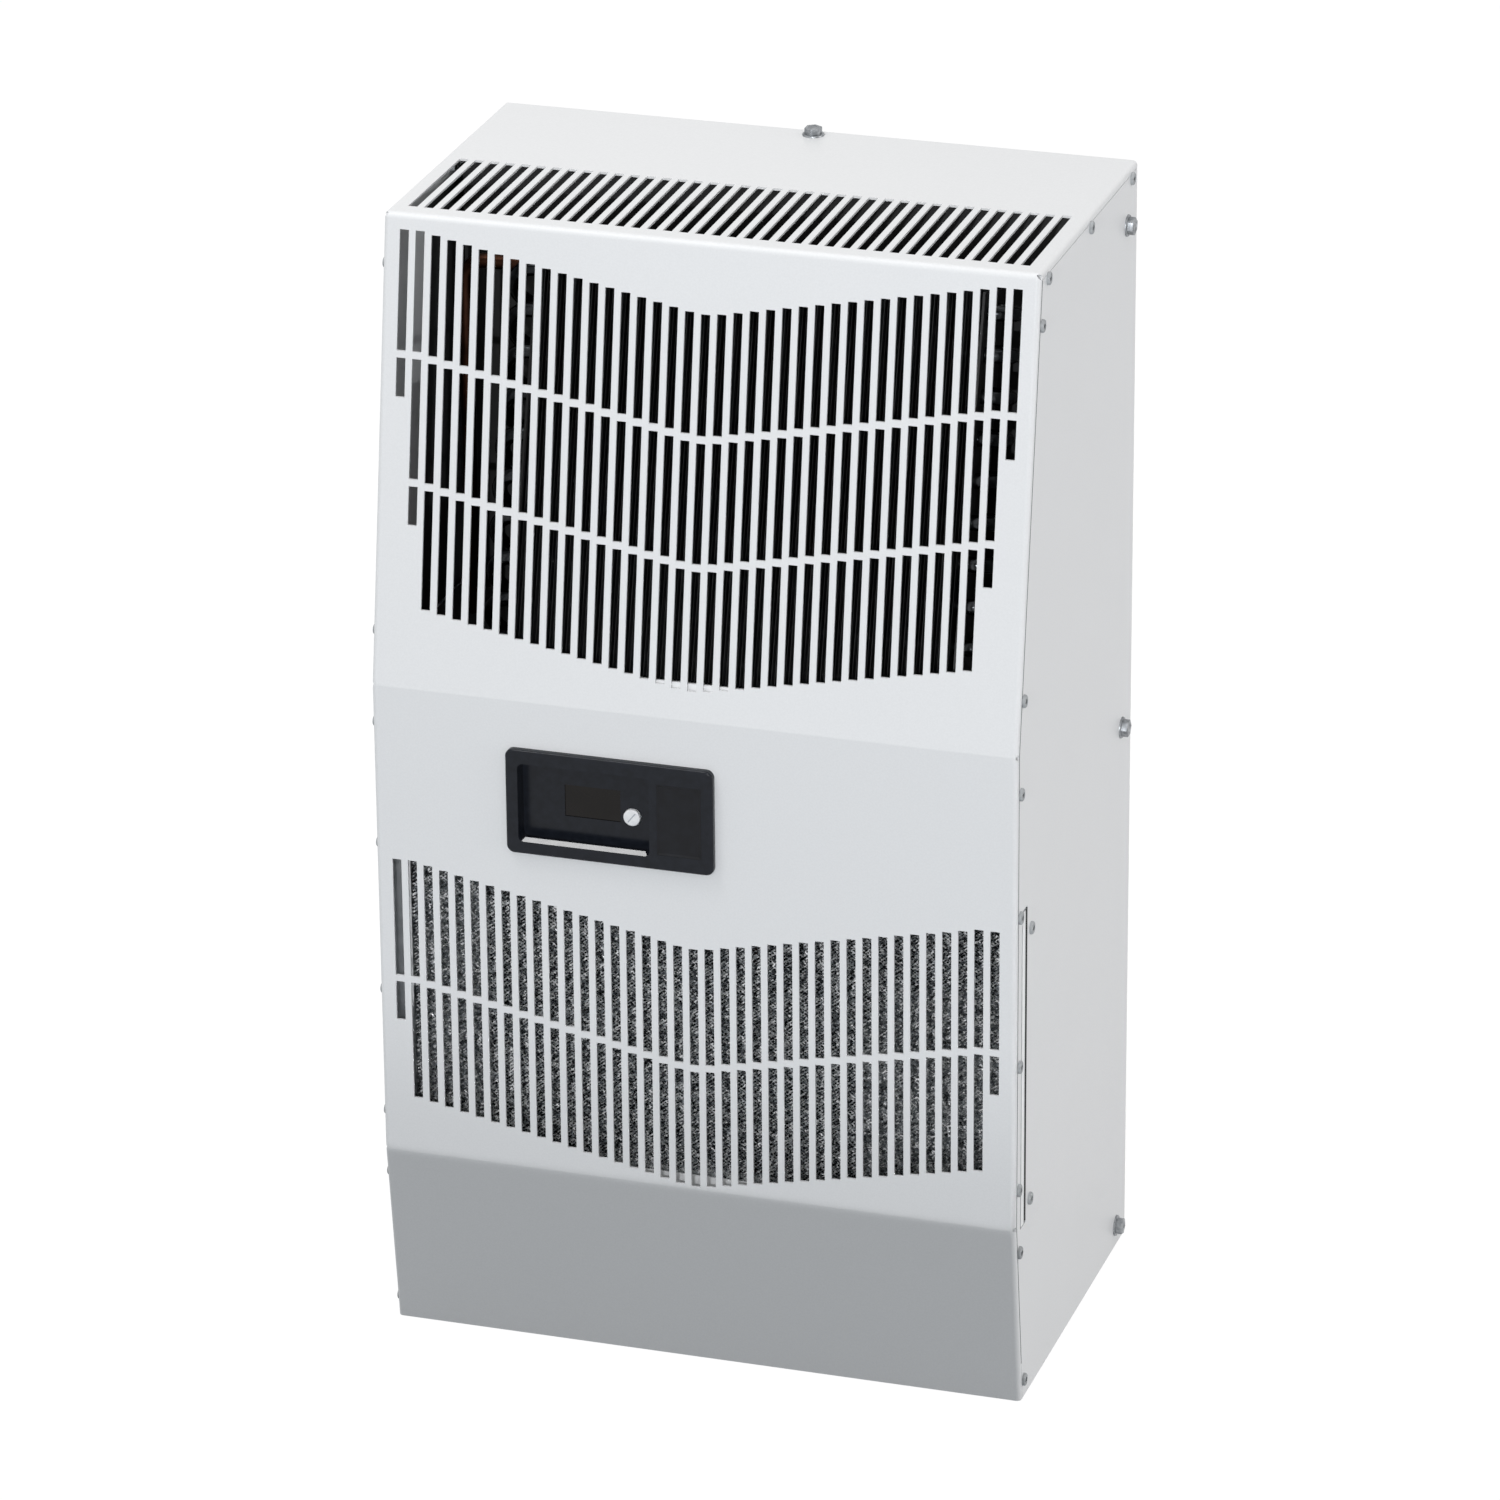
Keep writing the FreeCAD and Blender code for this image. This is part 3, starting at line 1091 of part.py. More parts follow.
def pipes(condenser_ends, evaporator_ends):
    """Refrigerant circuit between the compressor, the two coils and the drier."""
    bottom, top = condenser_ends
    entry, outlet = evaporator_ends
    crown = f"{FOOT_LOW}+foot+compressor_height"
    rise = f"{crown}+discharge_rise"
    bent_tube("discharge_pipe", [
        (COMPRESSOR_X, COMPRESSOR_Y, crown), (COMPRESSOR_X, COMPRESSOR_Y, rise),
        (RISER_X, str(top.y), rise), (RISER_X, str(top.y), str(top.z)),
        (str(top.x), str(top.y), str(top.z))], "pipe_radius")
    drier_top = f"({DECK}-sheet-drier_gap)"
    drier_low = f"({drier_top}-drier_length)"
    bent_tube("liquid_pipe", [
        (str(bottom.x), str(bottom.y), str(bottom.z)), (LIQUID_X, str(bottom.y), str(bottom.z)),
        (LIQUID_X, str(bottom.y), drier_top)], "pipe_radius")
    keep(rod("filter_drier", (LIQUID_X, str(bottom.y), drier_low), "drier_radius", "drier_length"),
         "filter_drier")
    bent_tube("capillary_tube", [
        (LIQUID_X, str(bottom.y), drier_low), (LIQUID_X, str(bottom.y), str(entry.z)),
        (LIQUID_X, str(entry.y), str(entry.z)), (str(entry.x), str(entry.y), str(entry.z))],
        "capillary_radius")
    x, y = ACCUMULATOR
    left = f"-{HALF}+suction_left"
    bent_tube("suction_pipe", [
        (str(outlet.x), str(outlet.y), str(outlet.z)), (left, str(outlet.y), str(outlet.z)),
        (left, y, str(outlet.z)), (x, y, str(outlet.z)),
        (x, y, "accumulator_low+accumulator_height")], "pipe_radius")


# evaporator side
def evaporator():
    depth = f"(({COLD}+{PLATE})/2-row_pitch)"
    return coil("evaporator", f"-{HALF}+evaporator_left", f"{HALF}-evaporator_right",
                EVAPORATOR_LEVELS, ("0", depth, "evaporator_low"), "0")


def coil_brackets():
    """Angles that hang the evaporator's end plates on the rear plate."""
    top = f"evaporator_low+{EVAPORATOR_LEVELS}*tube_pitch"
    front = f"({COLD}+{PLATE})/2+row_pitch"
    brackets = [
        block("left_bracket", (f"-{HALF}+evaporator_left", front, "evaporator_low"),
              (f"-{HALF}+evaporator_left+end_plate", PLATE, top)),
        block("right_bracket", (f"{HALF}-evaporator_right-end_plate", front, "evaporator_low"),
              (f"{HALF}-evaporator_right", PLATE, top))]
    keep(bundle("coil_brackets", brackets), "coil_brackets")


WHEEL_REAR = f"({PLATE}-ring_depth+wheel_disc/2)"
WHEEL_FRONT = f"({WHEEL_REAR}-wheel_depth)"
WHEEL_AXIS = ("0", WHEEL_FRONT, "blower_height")


def blower_wheel():
    """Wheel with swept-back blades between a disc and an eye ring, on the motor's shaft."""
    body = new_body("blower_wheel")
    disc = sketch_on(body, "disc", "XY_Plane")
    add_circle(disc, "0", "0", "wheel_radius")
    pad(body, disc, "wheel_disc")
    hub = sketch_on(body, "hub", "XY_Plane")
    add_circle(hub, "0", "0", "wheel_hub")
    pad(body, hub, "wheel_hub_length")
    sketch = sketch_on(body, "blade", "XY_Plane", "wheel_disc/2")
    sweep = "(blade_sweep*1deg)"
    tip = (f"blade_outer*cos({sweep})", f"blade_outer*sin({sweep})")
    run = f"({tip[0]}-blade_inner)"
    length = f"sqrt({run}^2+({tip[1]})^2)"
    across = f"blade*({tip[1]})/{length}"
    up = f"-blade*{run}/{length}"
    add_loop(sketch, [("blade_inner", "0"), tip, (f"{tip[0]}+{across}", f"{tip[1]}+({up})"),
                      (f"blade_inner+{across}", up)])
    blade = pad(body, sketch, "wheel_depth-wheel_disc")
    blades = body.newObject("PartDesign::PolarPattern", "wheel_blades")
    blades.Originals = [blade]
    blades.Axis = (sketch, ["N_Axis"])
    blades.Angle = 360
    blades.Occurrences = WHEEL_BLADES
    body.Tip = blades
    eye = sketch_on(body, "eye", "XY_Plane", "wheel_depth-wheel_disc")
    add_circle(eye, "0", "0", "wheel_radius")
    add_circle(eye, "0", "0", "wheel_eye")
    pad(body, eye, "wheel_disc")
    bore = sketch_on(body, "bore", "XY_Plane")
    add_circle(bore, "0", "0", "shaft_radius+shaft_fit")
    pocket(body, bore)
    seat(body, WHEEL_AXIS, "-90")
    keep(body, "blower_wheel")


def blower_motor():
    face = f"({BULKHEAD}+sheet)"
    flange = rod("blower_flange_disc", ("0", face, "blower_height"), "blower_flange",
                 "blower_flange_depth", "Y")
    can = rod("blower_can", ("0", face, "blower_height"), "blower_radius",
              f"{WHEEL_FRONT}-wheel_gap-{face}", "Y")
    shaft = rod("blower_shaft", ("0", face, "blower_height"), "shaft_radius",
                f"{WHEEL_FRONT}+wheel_hub_length-{face}", "Y")
    keep(fuse("blower_motor", flange, can, shaft), "blower_motor")


def inlet_ring():
    """Bell mouth behind the rear plate that leads the air into the wheel's eye."""
    body = new_body("inlet_ring")
    section = sketch_on(body, "section", "XZ_Plane")
    mouth = [("inlet_radius", "0"), ("bell_radius", "bell_knee"), ("throat_radius", "bell_straight")]
    outside = [(f"{radius}+ring_wall", f"{depth}+ring_wall") for radius, depth in reversed(mouth)]
    add_loop(section, [
        ("ring_flange", "0"), *mouth, ("throat_radius", "ring_depth"),
        ("throat_radius+ring_wall", "ring_depth"), *outside, ("ring_flange", "ring_wall")])
    turned = body.newObject("PartDesign::Revolution", "ring_turned")
    turned.Profile = section
    turned.ReferenceAxis = (section, ["V_Axis"])
    turned.Angle = 360
    body.Tip = turned
    holes = sketch_on(body, "holes", "XY_Plane")
    for across in (f"-{GUARD_REACH}", GUARD_REACH):
        for up in (f"-{GUARD_REACH}", GUARD_REACH):
            add_circle(holes, across, up, "guard_screw+screw_clearance")
    pocket(body, holes)
    seat(body, ("0", PLATE, "blower_height"), "90")
    keep(body, "inlet_ring")


def guard_bars():
    """Two crossed flat bars on the rear plate that carry the guard's rings."""
    body = new_body("guard_bars")
    along = f"guard_radius*{DIAGONAL}"
    half = f"guard_bar/2*{DIAGONAL}"
    for name, lean in (("rising", "+"), ("falling", "-")):
        bar = sketch_on(body, name, "XZ_Plane", f"-({REAR}+guard_tab_depth)")
        ends = [(f"-({along})", f"-({half})", f"{half}"), (along, half, f"-({half})")]
        corners = []
        for reach, first, second in ends:
            level = f"blower_height{lean}({reach})"
            corners.append((f"{reach}+({first})", f"{level}{lean}({second})"))
            corners.append((f"{reach}+({second})", f"{level}{lean}({first})"))
        add_loop(bar, corners)
        pad(body, bar, "guard_tab_depth")
    return body


def inlet_guard():
    """Rings on crossed bars over the inlet, held by four screwed tabs."""
    pieces = [guard_bars()]
    middle = ("0", REAR, "blower_height")
    for i in range(GUARD_RINGS):
        radius = f"guard_radius-{i}*guard_pitch"
        outer = rod(f"guard_outer_{i}", middle, f"{radius}+guard_wire", "2*guard_wire", "Y")
        inner = rod(f"guard_inner_{i}", middle, f"{radius}-guard_wire", "2*guard_wire", "Y")
        pieces.append(cut(f"guard_ring_{i}", outer, inner))
    holes = []
    for i, (x, z) in enumerate(guard_places()):
        pieces.append(rod(f"guard_tab_{i}", (x, REAR, z), "guard_tab/2", "guard_tab_depth", "Y"))
        holes.append(rod(f"guard_tab_hole_{i}", (x, REAR, z), "guard_screw+screw_clearance",
                         "guard_tab_depth", "Y"))
    keep(cut("inlet_guard", fuse("guard_wires", *pieces), *holes), "inlet_guard")
    heads = [fuse(f"guard_screw_{i}",
                  rod(f"guard_screw_head_{i}", (x, f"{REAR}+guard_tab_depth", z),
                      "guard_screw_head", "screw_head_height", "Y"),
                  rod(f"guard_screw_shank_{i}", (x, f"{REAR}+guard_tab_depth-screw_length", z),
                      "guard_screw", "screw_length", "Y"))
             for i, (x, z) in enumerate(guard_places())]
    keep(bundle("guard_screws", heads), "guard_screws")


def drain():
    """Tray under the evaporator, its spout and the coupling in the base pan."""
    side = f"({SIDE}-chassis-drain_side)"
    outer = block("drain_outer", (f"-{side}", COLD, "drain_low"),
                  (side, PLATE, "drain_low+drain_height"))
    room = block("drain_room", (f"-{side}+drain_wall", f"{COLD}+drain_wall", "drain_low+drain_wall"),
                 (f"{side}-drain_wall", f"{PLATE}-drain_wall", "drain_low+drain_height"))
    spout = rod("drain_spout", (*DRAIN, "drain_low-spout_reach"), "spout_radius", "spout_reach")
    bore = rod("drain_bore", (*DRAIN, "drain_low-spout_reach"), "spout_radius-spout_wall",
               "spout_reach+drain_wall")
    tray = fuse("drain_tray", cut("drain_hollow", outer, room), spout)
    keep(cut("drain_pan", tray, bore), "drain_pan")
    body = rod("coupling_body", (*DRAIN, "0"), "coupling_radius", "coupling_height")
    collar = rod("coupling_ring", (*DRAIN, "chassis"), "coupling_collar",
                 "coupling_collar_height")
    socket = rod("coupling_socket", (*DRAIN, "0"), "coupling_bore", "coupling_depth")
    throat = rod("coupling_throat", (*DRAIN, "0"), "spout_radius+spout_play", "coupling_height")
    keep(cut("drain_coupling", fuse("coupling_whole", body, collar), socket, throat),
         "drain_coupling")


# electrical parts
def electrical():
    """Box beside the compressor with a cover, terminals and a run capacitor."""
    right = f"({SIDE}-chassis-box_side)"
    left = f"({right}-box_width)"
    front = f"({BULKHEAD}-box_depth)"
    top = "(chassis+box_height)"
    shell = block("box_shell", (left, front, "chassis"), (right, BULKHEAD, top))
    room = block("box_room", (f"{left}+box_wall", front, "chassis+box_wall"),
                 (f"{right}-box_wall", f"{BULKHEAD}-box_wall", f"{top}-box_wall"))
    keep(cut("electrical_box", shell, room), "electrical_box")
    keep(block("electrical_cover", (left, f"{front}-box_wall", "chassis"), (right, front, top)),
         "electrical_cover")
    floor = f"{BULKHEAD}-box_wall"
    keep(block("terminal_block", (f"{left}+part_inset", f"{floor}-block_depth", "block_rise"),
               (f"{left}+part_inset+block_width", floor, "block_rise+block_height")),
         "terminal_block")
    keep(rod("run_capacitor", (f"{left}+part_inset+capacitor_radius",
                               f"{floor}-capacitor_length", "block_rise+capacitor_rise"),
             "capacitor_radius", "capacitor_length", "Y"), "run_capacitor")


def cable_bushing():
    """Snap-in bushing where the supply cable would come through the rear plate."""
    x, z = f"{HALF}-bushing_side", "bushing_height"
    lip = rod("bushing_outer_lip", (x, REAR, z), "bushing_lip", "bushing_lip_depth", "Y")
    barrel = rod("bushing_tube", (x, f"{REAR}+bushing_lip_depth-bushing_length", z),
                 "bushing_barrel", "bushing_length", "Y")
    hole = rod("bushing_hole_tool", (x, f"{REAR}+bushing_lip_depth-bushing_length", z),
               "bushing_bore", "bushing_length", "Y")
    keep(cut("cable_bushing", fuse("bushing_solid", lip, barrel), hole), "cable_bushing")


def build():
    front_cover()
    side_panel("left_side_panel", f"-{HALF}", False)
    side_panel("right_side_panel", SIDE, True)
    side_screws()
    shroud_bolts()
    back_plate()
    mounting_nuts()
    rear_gasket()
    base_pan()
    bulkhead()
    air_filter()
    filter_guides()
    filter_baffle()
    control_bezel()
    controller()
    condenser_ends = condenser()
    coil_deck(condenser_ends)
    fan_plate()
    condenser_fan()
    condenser_motor()
    compressor()
    suction_accumulator()
    evaporator_ends = evaporator()
    coil_brackets()
    pipes(condenser_ends, evaporator_ends)
    blower_wheel()
    blower_motor()
    inlet_ring()
    inlet_guard()
    drain()
    electrical()
    cable_bushing()
    doc.recompute()


def check():
    """Stop before writing if any object failed or any sub-part isn't a sound solid."""
    for thing in doc.Objects:
        if {"Invalid", "Error"} & set(thing.State):
            raise RuntimeError(f"{thing.Label} failed: {thing.State}")
    for thing in nodes:
        shape = thing.Shape
        if shape.isNull() or not shape.isValid() or not shape.Solids:
            raise RuntimeError(f"{thing.Label} has no sound solid")


def write():
    os.makedirs("parts", exist_ok=True)
    for thing in nodes:
        thing.Shape.exportStep(f"parts/{thing.Label}.step")
        box = thing.Shape.BoundBox
        print(f"{thing.Label}: {len(thing.Shape.Solids)} solids, {thing.Shape.Volume / 1000:.1f} cm3, "
              f"x {box.XMin:.1f} {box.XMax:.1f}, y {box.YMin:.1f} {box.YMax:.1f}, "
              f"z {box.ZMin:.1f} {box.ZMax:.1f}")


build()
check()
write()
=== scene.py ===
# %% [markdown]
# # Enclosure air conditioner
# A cooling unit that bolts to the outside of an electrical cabinet. The sheet-metal shroud, the
# coils, pipes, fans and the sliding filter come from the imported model. This lesson gives them their
# finishes and models the small things that the eye looks for: wire mesh, fins, screws and bolts.

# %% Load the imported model
import math

import bmesh
import bpy
from mathutils import Matrix, Vector


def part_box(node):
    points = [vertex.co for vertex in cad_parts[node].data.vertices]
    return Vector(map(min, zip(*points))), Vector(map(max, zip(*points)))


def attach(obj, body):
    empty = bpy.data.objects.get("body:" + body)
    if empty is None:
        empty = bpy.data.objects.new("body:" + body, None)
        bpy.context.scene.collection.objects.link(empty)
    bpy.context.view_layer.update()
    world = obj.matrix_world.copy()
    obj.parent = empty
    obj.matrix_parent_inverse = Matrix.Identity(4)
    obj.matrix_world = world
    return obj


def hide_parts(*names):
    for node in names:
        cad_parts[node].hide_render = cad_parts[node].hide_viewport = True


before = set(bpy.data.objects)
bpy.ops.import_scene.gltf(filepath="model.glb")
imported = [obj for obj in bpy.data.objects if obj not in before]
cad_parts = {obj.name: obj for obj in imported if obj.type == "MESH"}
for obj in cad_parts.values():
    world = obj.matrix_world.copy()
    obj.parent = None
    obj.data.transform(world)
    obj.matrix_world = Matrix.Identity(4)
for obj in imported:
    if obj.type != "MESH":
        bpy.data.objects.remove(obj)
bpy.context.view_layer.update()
MM = 0.001

# %% [markdown]
# ## Camera
# The unit was photographed from the right and from above with a long lens, so its edges are almost
# parallel. A long lens far away gives the same picture. The place and angles were worked out from the
# casing's corners.

# %% Camera
PHOTO_PIXELS = 1500
SENSOR = 36.0
FOCAL_PIXELS = 7683
AZIMUTH, ELEVATION, ROLL = (math.radians(angle) for angle in (17.791, 22.921, -0.494))
CAMERA_PLACE = Vector((1.3513, -4.2259, 2.2458))

lens = bpy.data.cameras.new("photo_camera")
lens.sensor_width = SENSOR
lens.lens = FOCAL_PIXELS / PHOTO_PIXELS * SENSOR
lens.clip_end = 100
camera = bpy.data.objects.new("photo_camera", lens)
bpy.context.collection.objects.link(camera)
camera.matrix_world = (Matrix.Translation(CAMERA_PLACE) @ Matrix.Rotation(AZIMUTH, 4, "Z")
                       @ Matrix.Rotation(math.pi / 2 - ELEVATION, 4, "X")
                       @ Matrix.Rotation(ROLL, 4, "Z"))
bpy.context.scene.camera = camera
bpy.context.scene.view_settings.view_transform = "Standard"
print("lens", round(lens.lens, 1), "mm")

# %% [markdown]
# ## Material helpers
# Colours are written as on a colour card and turned to the linear values that the renderer needs.
# One function adds a node, sets it up and links it. Pattern scales are given as real sizes in
# millimetres: an object coordinate is in metres, so a pattern of s millimetres has a scale of 1000 / s.


# %% Material helpers
def linear(card):
    """Linear RGBA of an sRGB hex colour."""
    parts = [int(card[i:i + 2], 16) / 255 for i in (0, 2, 4)]
    return [c / 12.92 if c <= 0.04045 else ((c + 0.055) / 1.055) ** 2.4 for c in parts] + [1.0]


def add_node(tree, kind, settings, links=None):
    """Add a node; settings are inputs or properties by name, links are sockets by input name."""
    node = tree.nodes.new(kind)
    for name, setting in settings.items():
        if name in node.inputs:
            node.inputs[name].default_value = setting
        else:
            setattr(node, name, setting)
    for name, socket in (links or {}).items():
        tree.links.new(socket, node.inputs[name])
    return node


def start_material(name, settings):
    """A material with one Principled shader; returns it, its tree, shader and object coordinates."""
    material = bpy.data.materials.new(name)
    material.use_nodes = True
    tree = material.node_tree
    shader = tree.nodes["Principled BSDF"]
    for key, setting in settings.items():
        shader.inputs[key].default_value = setting
    place = add_node(tree, "ShaderNodeTexCoord", {})
    return material, tree, shader, place.outputs["Object"]


def per_mm(size):
    return 1000 / size


def mottled(tree, place, size, dark, light, low=0.35, high=0.65):
    """Noise of a real size in millimetres spread between two colours."""
    noise = add_node(tree, "ShaderNodeTexNoise", {"Scale": per_mm(size), "Detail": 3.0},
                     {"Vector": place})
    ramp = add_node(tree, "ShaderNodeValToRGB", {}, {"Fac": noise.outputs["Fac"]})
    ramp.color_ramp.elements[0].position = low
    ramp.color_ramp.elements[0].color = linear(dark)
    ramp.color_ramp.elements[1].position = high
    ramp.color_ramp.elements[1].color = linear(light)
    return ramp.outputs["Color"]


def rough_between(tree, place, size, low, high):
    """Roughness that wanders between two values over a real size in millimetres."""
    noise = add_node(tree, "ShaderNodeTexNoise", {"Scale": per_mm(size), "Detail": 2.0},
                     {"Vector": place})
    span = add_node(tree, "ShaderNodeMapRange", {"To Min": low, "To Max": high},
                    {"Value": noise.outputs["Fac"]})
    return span.outputs["Result"]


def bumped(tree, shader, height, depth, strength=1.0):
    """Raise the surface by a height pattern, depth in millimetres."""
    bump = add_node(tree, "ShaderNodeBump", {"Strength": strength, "Distance": depth * MM},
                    {"Height": height})
    tree.links.new(bump.outputs["Normal"], shader.inputs["Normal"])


# %% [markdown]
# ## Powder coat
# The shroud is steel sheet with a baked polyester powder coat in light grey. It flows into a skin
# with a very fine orange peel, a soft sheen and no scratches. Grains of about 1 mm are drawn, a
# little coarser than life, so that they show.

# %% Powder coat
powder_coat, tree, shader, place = start_material("light_grey_powder_coat", {"IOR": 1.5})
tree.links.new(mottled(tree, place, 1.2, "DFE0E1", "E2E3E4"), shader.inputs["Base Color"])
tree.links.new(rough_between(tree, place, 40, 0.38, 0.46), shader.inputs["Roughness"])
peel = add_node(tree, "ShaderNodeTexNoise", {"Scale": per_mm(0.9), "Detail": 2.0}, {"Vector": place})
bumped(tree, shader, peel.outputs["Fac"], 0.02, 0.25)
print(powder_coat.name)

# %% [markdown]
# ## Bare metals
# Inner sheets are galvanised steel with faint zinc flowers of about 9 mm. Fasteners are zinc plated:
# dull grey and slightly cloudy. Tubes are drawn copper, the condenser's are tinned and glint at their
# bends; both are coloured very dark as painted shade of the dim inside. Fins are thin aluminium
# coloured near black, also painted shade, which is why the upper grille looks black.

# %% Bare metals
galvanised, tree, shader, place = start_material("galvanised_steel_sheet", {"Metallic": 1.0})
flowers = add_node(tree, "ShaderNodeTexVoronoi", {"Scale": per_mm(9)}, {"Vector": place})
tone = add_node(tree, "ShaderNodeMix", {"data_type": "RGBA"}, {"Factor": flowers.outputs["Distance"]})
COLOUR_A, COLOUR_B, COLOUR_OUT = 6, 7, 2  # the mix node's colour sockets; its others are for numbers
tone.inputs[COLOUR_A].default_value = linear("A9ADB0")
tone.inputs[COLOUR_B].default_value = linear("C3C6C8")
tree.links.new(tone.outputs[COLOUR_OUT], shader.inputs["Base Color"])
tree.links.new(rough_between(tree, place, 6, 0.34, 0.5), shader.inputs["Roughness"])

zinc, tree, shader, place = start_material("zinc_plated_steel", {"Metallic": 1.0})
tree.links.new(mottled(tree, place, 2.5, "7A7D80", "A0A3A6"), shader.inputs["Base Color"])
tree.links.new(rough_between(tree, place, 1.5, 0.36, 0.5), shader.inputs["Roughness"])

# painted shade: the copper is coloured very dark for the dim inside of the unit
shaded_copper, tree, shader, place = start_material("copper_tube_painted_shade", {"Metallic": 1.0})
tree.links.new(mottled(tree, place, 14, "22130D", "3E271D"), shader.inputs["Base Color"])
tree.links.new(rough_between(tree, place, 5, 0.3, 0.45), shader.inputs["Roughness"])

# painted shade: the tinned tube is coloured dark for the dim inside; its glints come from the lamps
shaded_tinned, tree, shader, place = start_material("tinned_tube_painted_shade", {"Metallic": 1.0})
tree.links.new(mottled(tree, place, 9, "2A2C2E", "454749"), shader.inputs["Base Color"])
tree.links.new(rough_between(tree, place, 4, 0.16, 0.26), shader.inputs["Roughness"])

# painted shade: the fins are coloured near black for the dim inside of the coils
shaded_fin, tree, shader, place = start_material(
    "aluminium_fin_painted_shade", {"Roughness": 0.45, "IOR": 1.5})
tree.links.new(mottled(tree, place, 3, "1F2021", "2D2E2F"), shader.inputs["Base Color"])
press = add_node(tree, "ShaderNodeTexNoise", {"Scale": per_mm(1.0)}, {"Vector": place})
bumped(tree, shader, press.outputs["Fac"], 0.03, 0.4)

mill_aluminium, tree, shader, place = start_material(
    "mill_finish_aluminium", {"Metallic": 1.0, "Roughness": 0.33})
tree.links.new(mottled(tree, place, 4, "C2C5C7", "D6D8DA"), shader.inputs["Base Color"])
drawn = add_node(tree, "ShaderNodeMapping", {"Scale": (per_mm(83.3), per_mm(0.5), per_mm(0.5))},
                 {"Vector": place})
lines = add_node(tree, "ShaderNodeTexNoise", {"Scale": 1.0, "Detail": 2.0},
                 {"Vector": drawn.outputs["Vector"]})
bumped(tree, shader, lines.outputs["Fac"], 0.02, 0.35)
print(galvanised.name, zinc.name, shaded_copper.name, shaded_tinned.name, shaded_fin.name, mill_aluminium.name)

# %% [markdown]
# ## Mesh wire
# The washable filter is aluminium ribbon, slit and stretched into small diamonds and laid in crossed
# layers. Each strand points its own way. Its glitter is painted: patches of 1.7 mm, about as large as
# one facet of a strand, get a tone of their own from near black to white, as painted glints and shade.

# %% Mesh wire
mesh_wire, tree, shader, place = start_material(
    "aluminium_mesh_painted_glints", {"Metallic": 0.35, "Roughness": 0.4})
# painted glints and painted shade: each patch gets a tone from near black to white, as if it did or did
# not reflect light
glint_patches = add_node(tree, "ShaderNodeTexVoronoi", {"Scale": per_mm(1.7)}, {"Vector": place})
painted_glints = add_node(tree, "ShaderNodeValToRGB", {}, {"Fac": glint_patches.outputs["Color"]})
tones = painted_glints.color_ramp.elements
tones[0].position, tones[0].color = 0.22, linear("1B1E21")
tones[1].position, tones[1].color = 0.68, linear("FFFFFF")
tones.new(0.45).color = linear("9CA2A6")
tree.links.new(painted_glints.outputs["Color"], shader.inputs["Base Color"])
burr = add_node(tree, "ShaderNodeTexNoise", {"Scale": per_mm(0.8), "Detail": 1.0}, {"Vector": place})
bumped(tree, shader, burr.outputs["Fac"], 0.12, 0.8)
print(mesh_wire.name)

# %% [markdown]
# ## Plastics, rubber and enamel
# The control bezel is moulded black ABS with a satin, spark-eroded skin and a faint blue cast. The
# window is smoked acrylic, the button white silicone. Fans are black glass-filled nylon, the drain
# parts grey ABS. The gasket and the linings are closed-cell foam; the black foam sheets at the left
# wall, on the deck and in the filter slot stand as painted shade, and so does the black rubber trim of
# the slot. Compressor and motors carry stove enamel; the condenser motor's black enamel and the
# condenser's black sheets are painted shade of the dim inside. The filter's end strip, its guides and
# the deck are coated white, and the screws are dull grey. Among so much white, plastic with the
# usual IOR of 1.5 reflects too much for the dark bezel, window and badge film of the photograph, so
# theirs is lowered to 1.3 to match it.

# %% Plastics, rubber and enamel
PLAIN_FINISHES = {
    # name: (dark, light, tone size, roughness low, high, grain size, grain depth, IOR)
    "satin_black_abs": ("14171D", "1A1D24", 6, 0.2, 0.24, 0.5, 0.0004, 1.3),
    "polished_black_abs": ("22242A", "26282E", 6, 0.14, 0.18, 2.0, 0.0005, 1.54),
    "smoked_acrylic": ("120F0D", "171412", 20, 0.06, 0.10, 4.0, 0.001, 1.3),
    "grey_button_print": ("AEB3B8", "B7BCC1", 2, 0.5, 0.6, 0.6, 0.004, 1.5),
    "white_silicone": ("E6E7E9", "F0F1F2", 3, 0.34, 0.42, 0.6, 0.010, 1.41),
    "dark_label_film": ("0E0F13", "13151A", 8, 0.30, 0.38, 0.4, 0.006, 1.3),
    "black_glass_filled_nylon": ("141415", "1E1E20", 4, 0.45, 0.6, 0.7, 0.02, 1.53),
    "grey_moulded_abs": ("35373A", "404246", 5, 0.4, 0.5, 0.6, 0.015, 1.54),
    # also painted shade: the black sheets at the left wall, on the deck and in the filter slot
    "foam_and_painted_shade": ("17181A", "242527", 2, 0.8, 0.95, 0.9, 0.12, 1.5),
    # also painted shade: the black trim on the rear edge of the filter slot
    "black_rubber": ("121212", "1B1B1B", 3, 0.6, 0.75, 0.8, 0.03, 1.52),
    # also painted shade: the condenser motor, black for the dim inside
    "black_enamel_and_painted_shade": ("0B0B0C", "131314", 8, 0.22, 0.32, 1.5, 0.02, 1.5),
    "grey_motor_enamel": ("3C3F42", "484B4E", 6, 0.34, 0.44, 1.0, 0.02, 1.5),
    # painted shade: the condenser's inner sheets, near black for the dim inside
    "painted_shade_black_sheet": ("090909", "0F0F10", 8, 0.5, 0.6, 1.0, 0.02, 1.5),
    "white_coated_sheet": ("EDEEEF", "F3F4F4", 10, 0.36, 0.46, 1.0, 0.012, 1.5),
    "dull_grey_screw_paint": ("9C9FA1", "AAADAF", 2, 0.55, 0.65, 0.8, 0.01, 1.5),
    # painted shadow: the dark strip over the right panel's seam
    "painted_seam_shadow": ("3A3C3F", "45484B", 4, 0.5, 0.6, 1.0, 0.01, 1.5),
    "terminal_resin": ("1C1C1E", "26262A", 4, 0.3, 0.4, 0.6, 0.01, 1.5),
}
finishes = {}
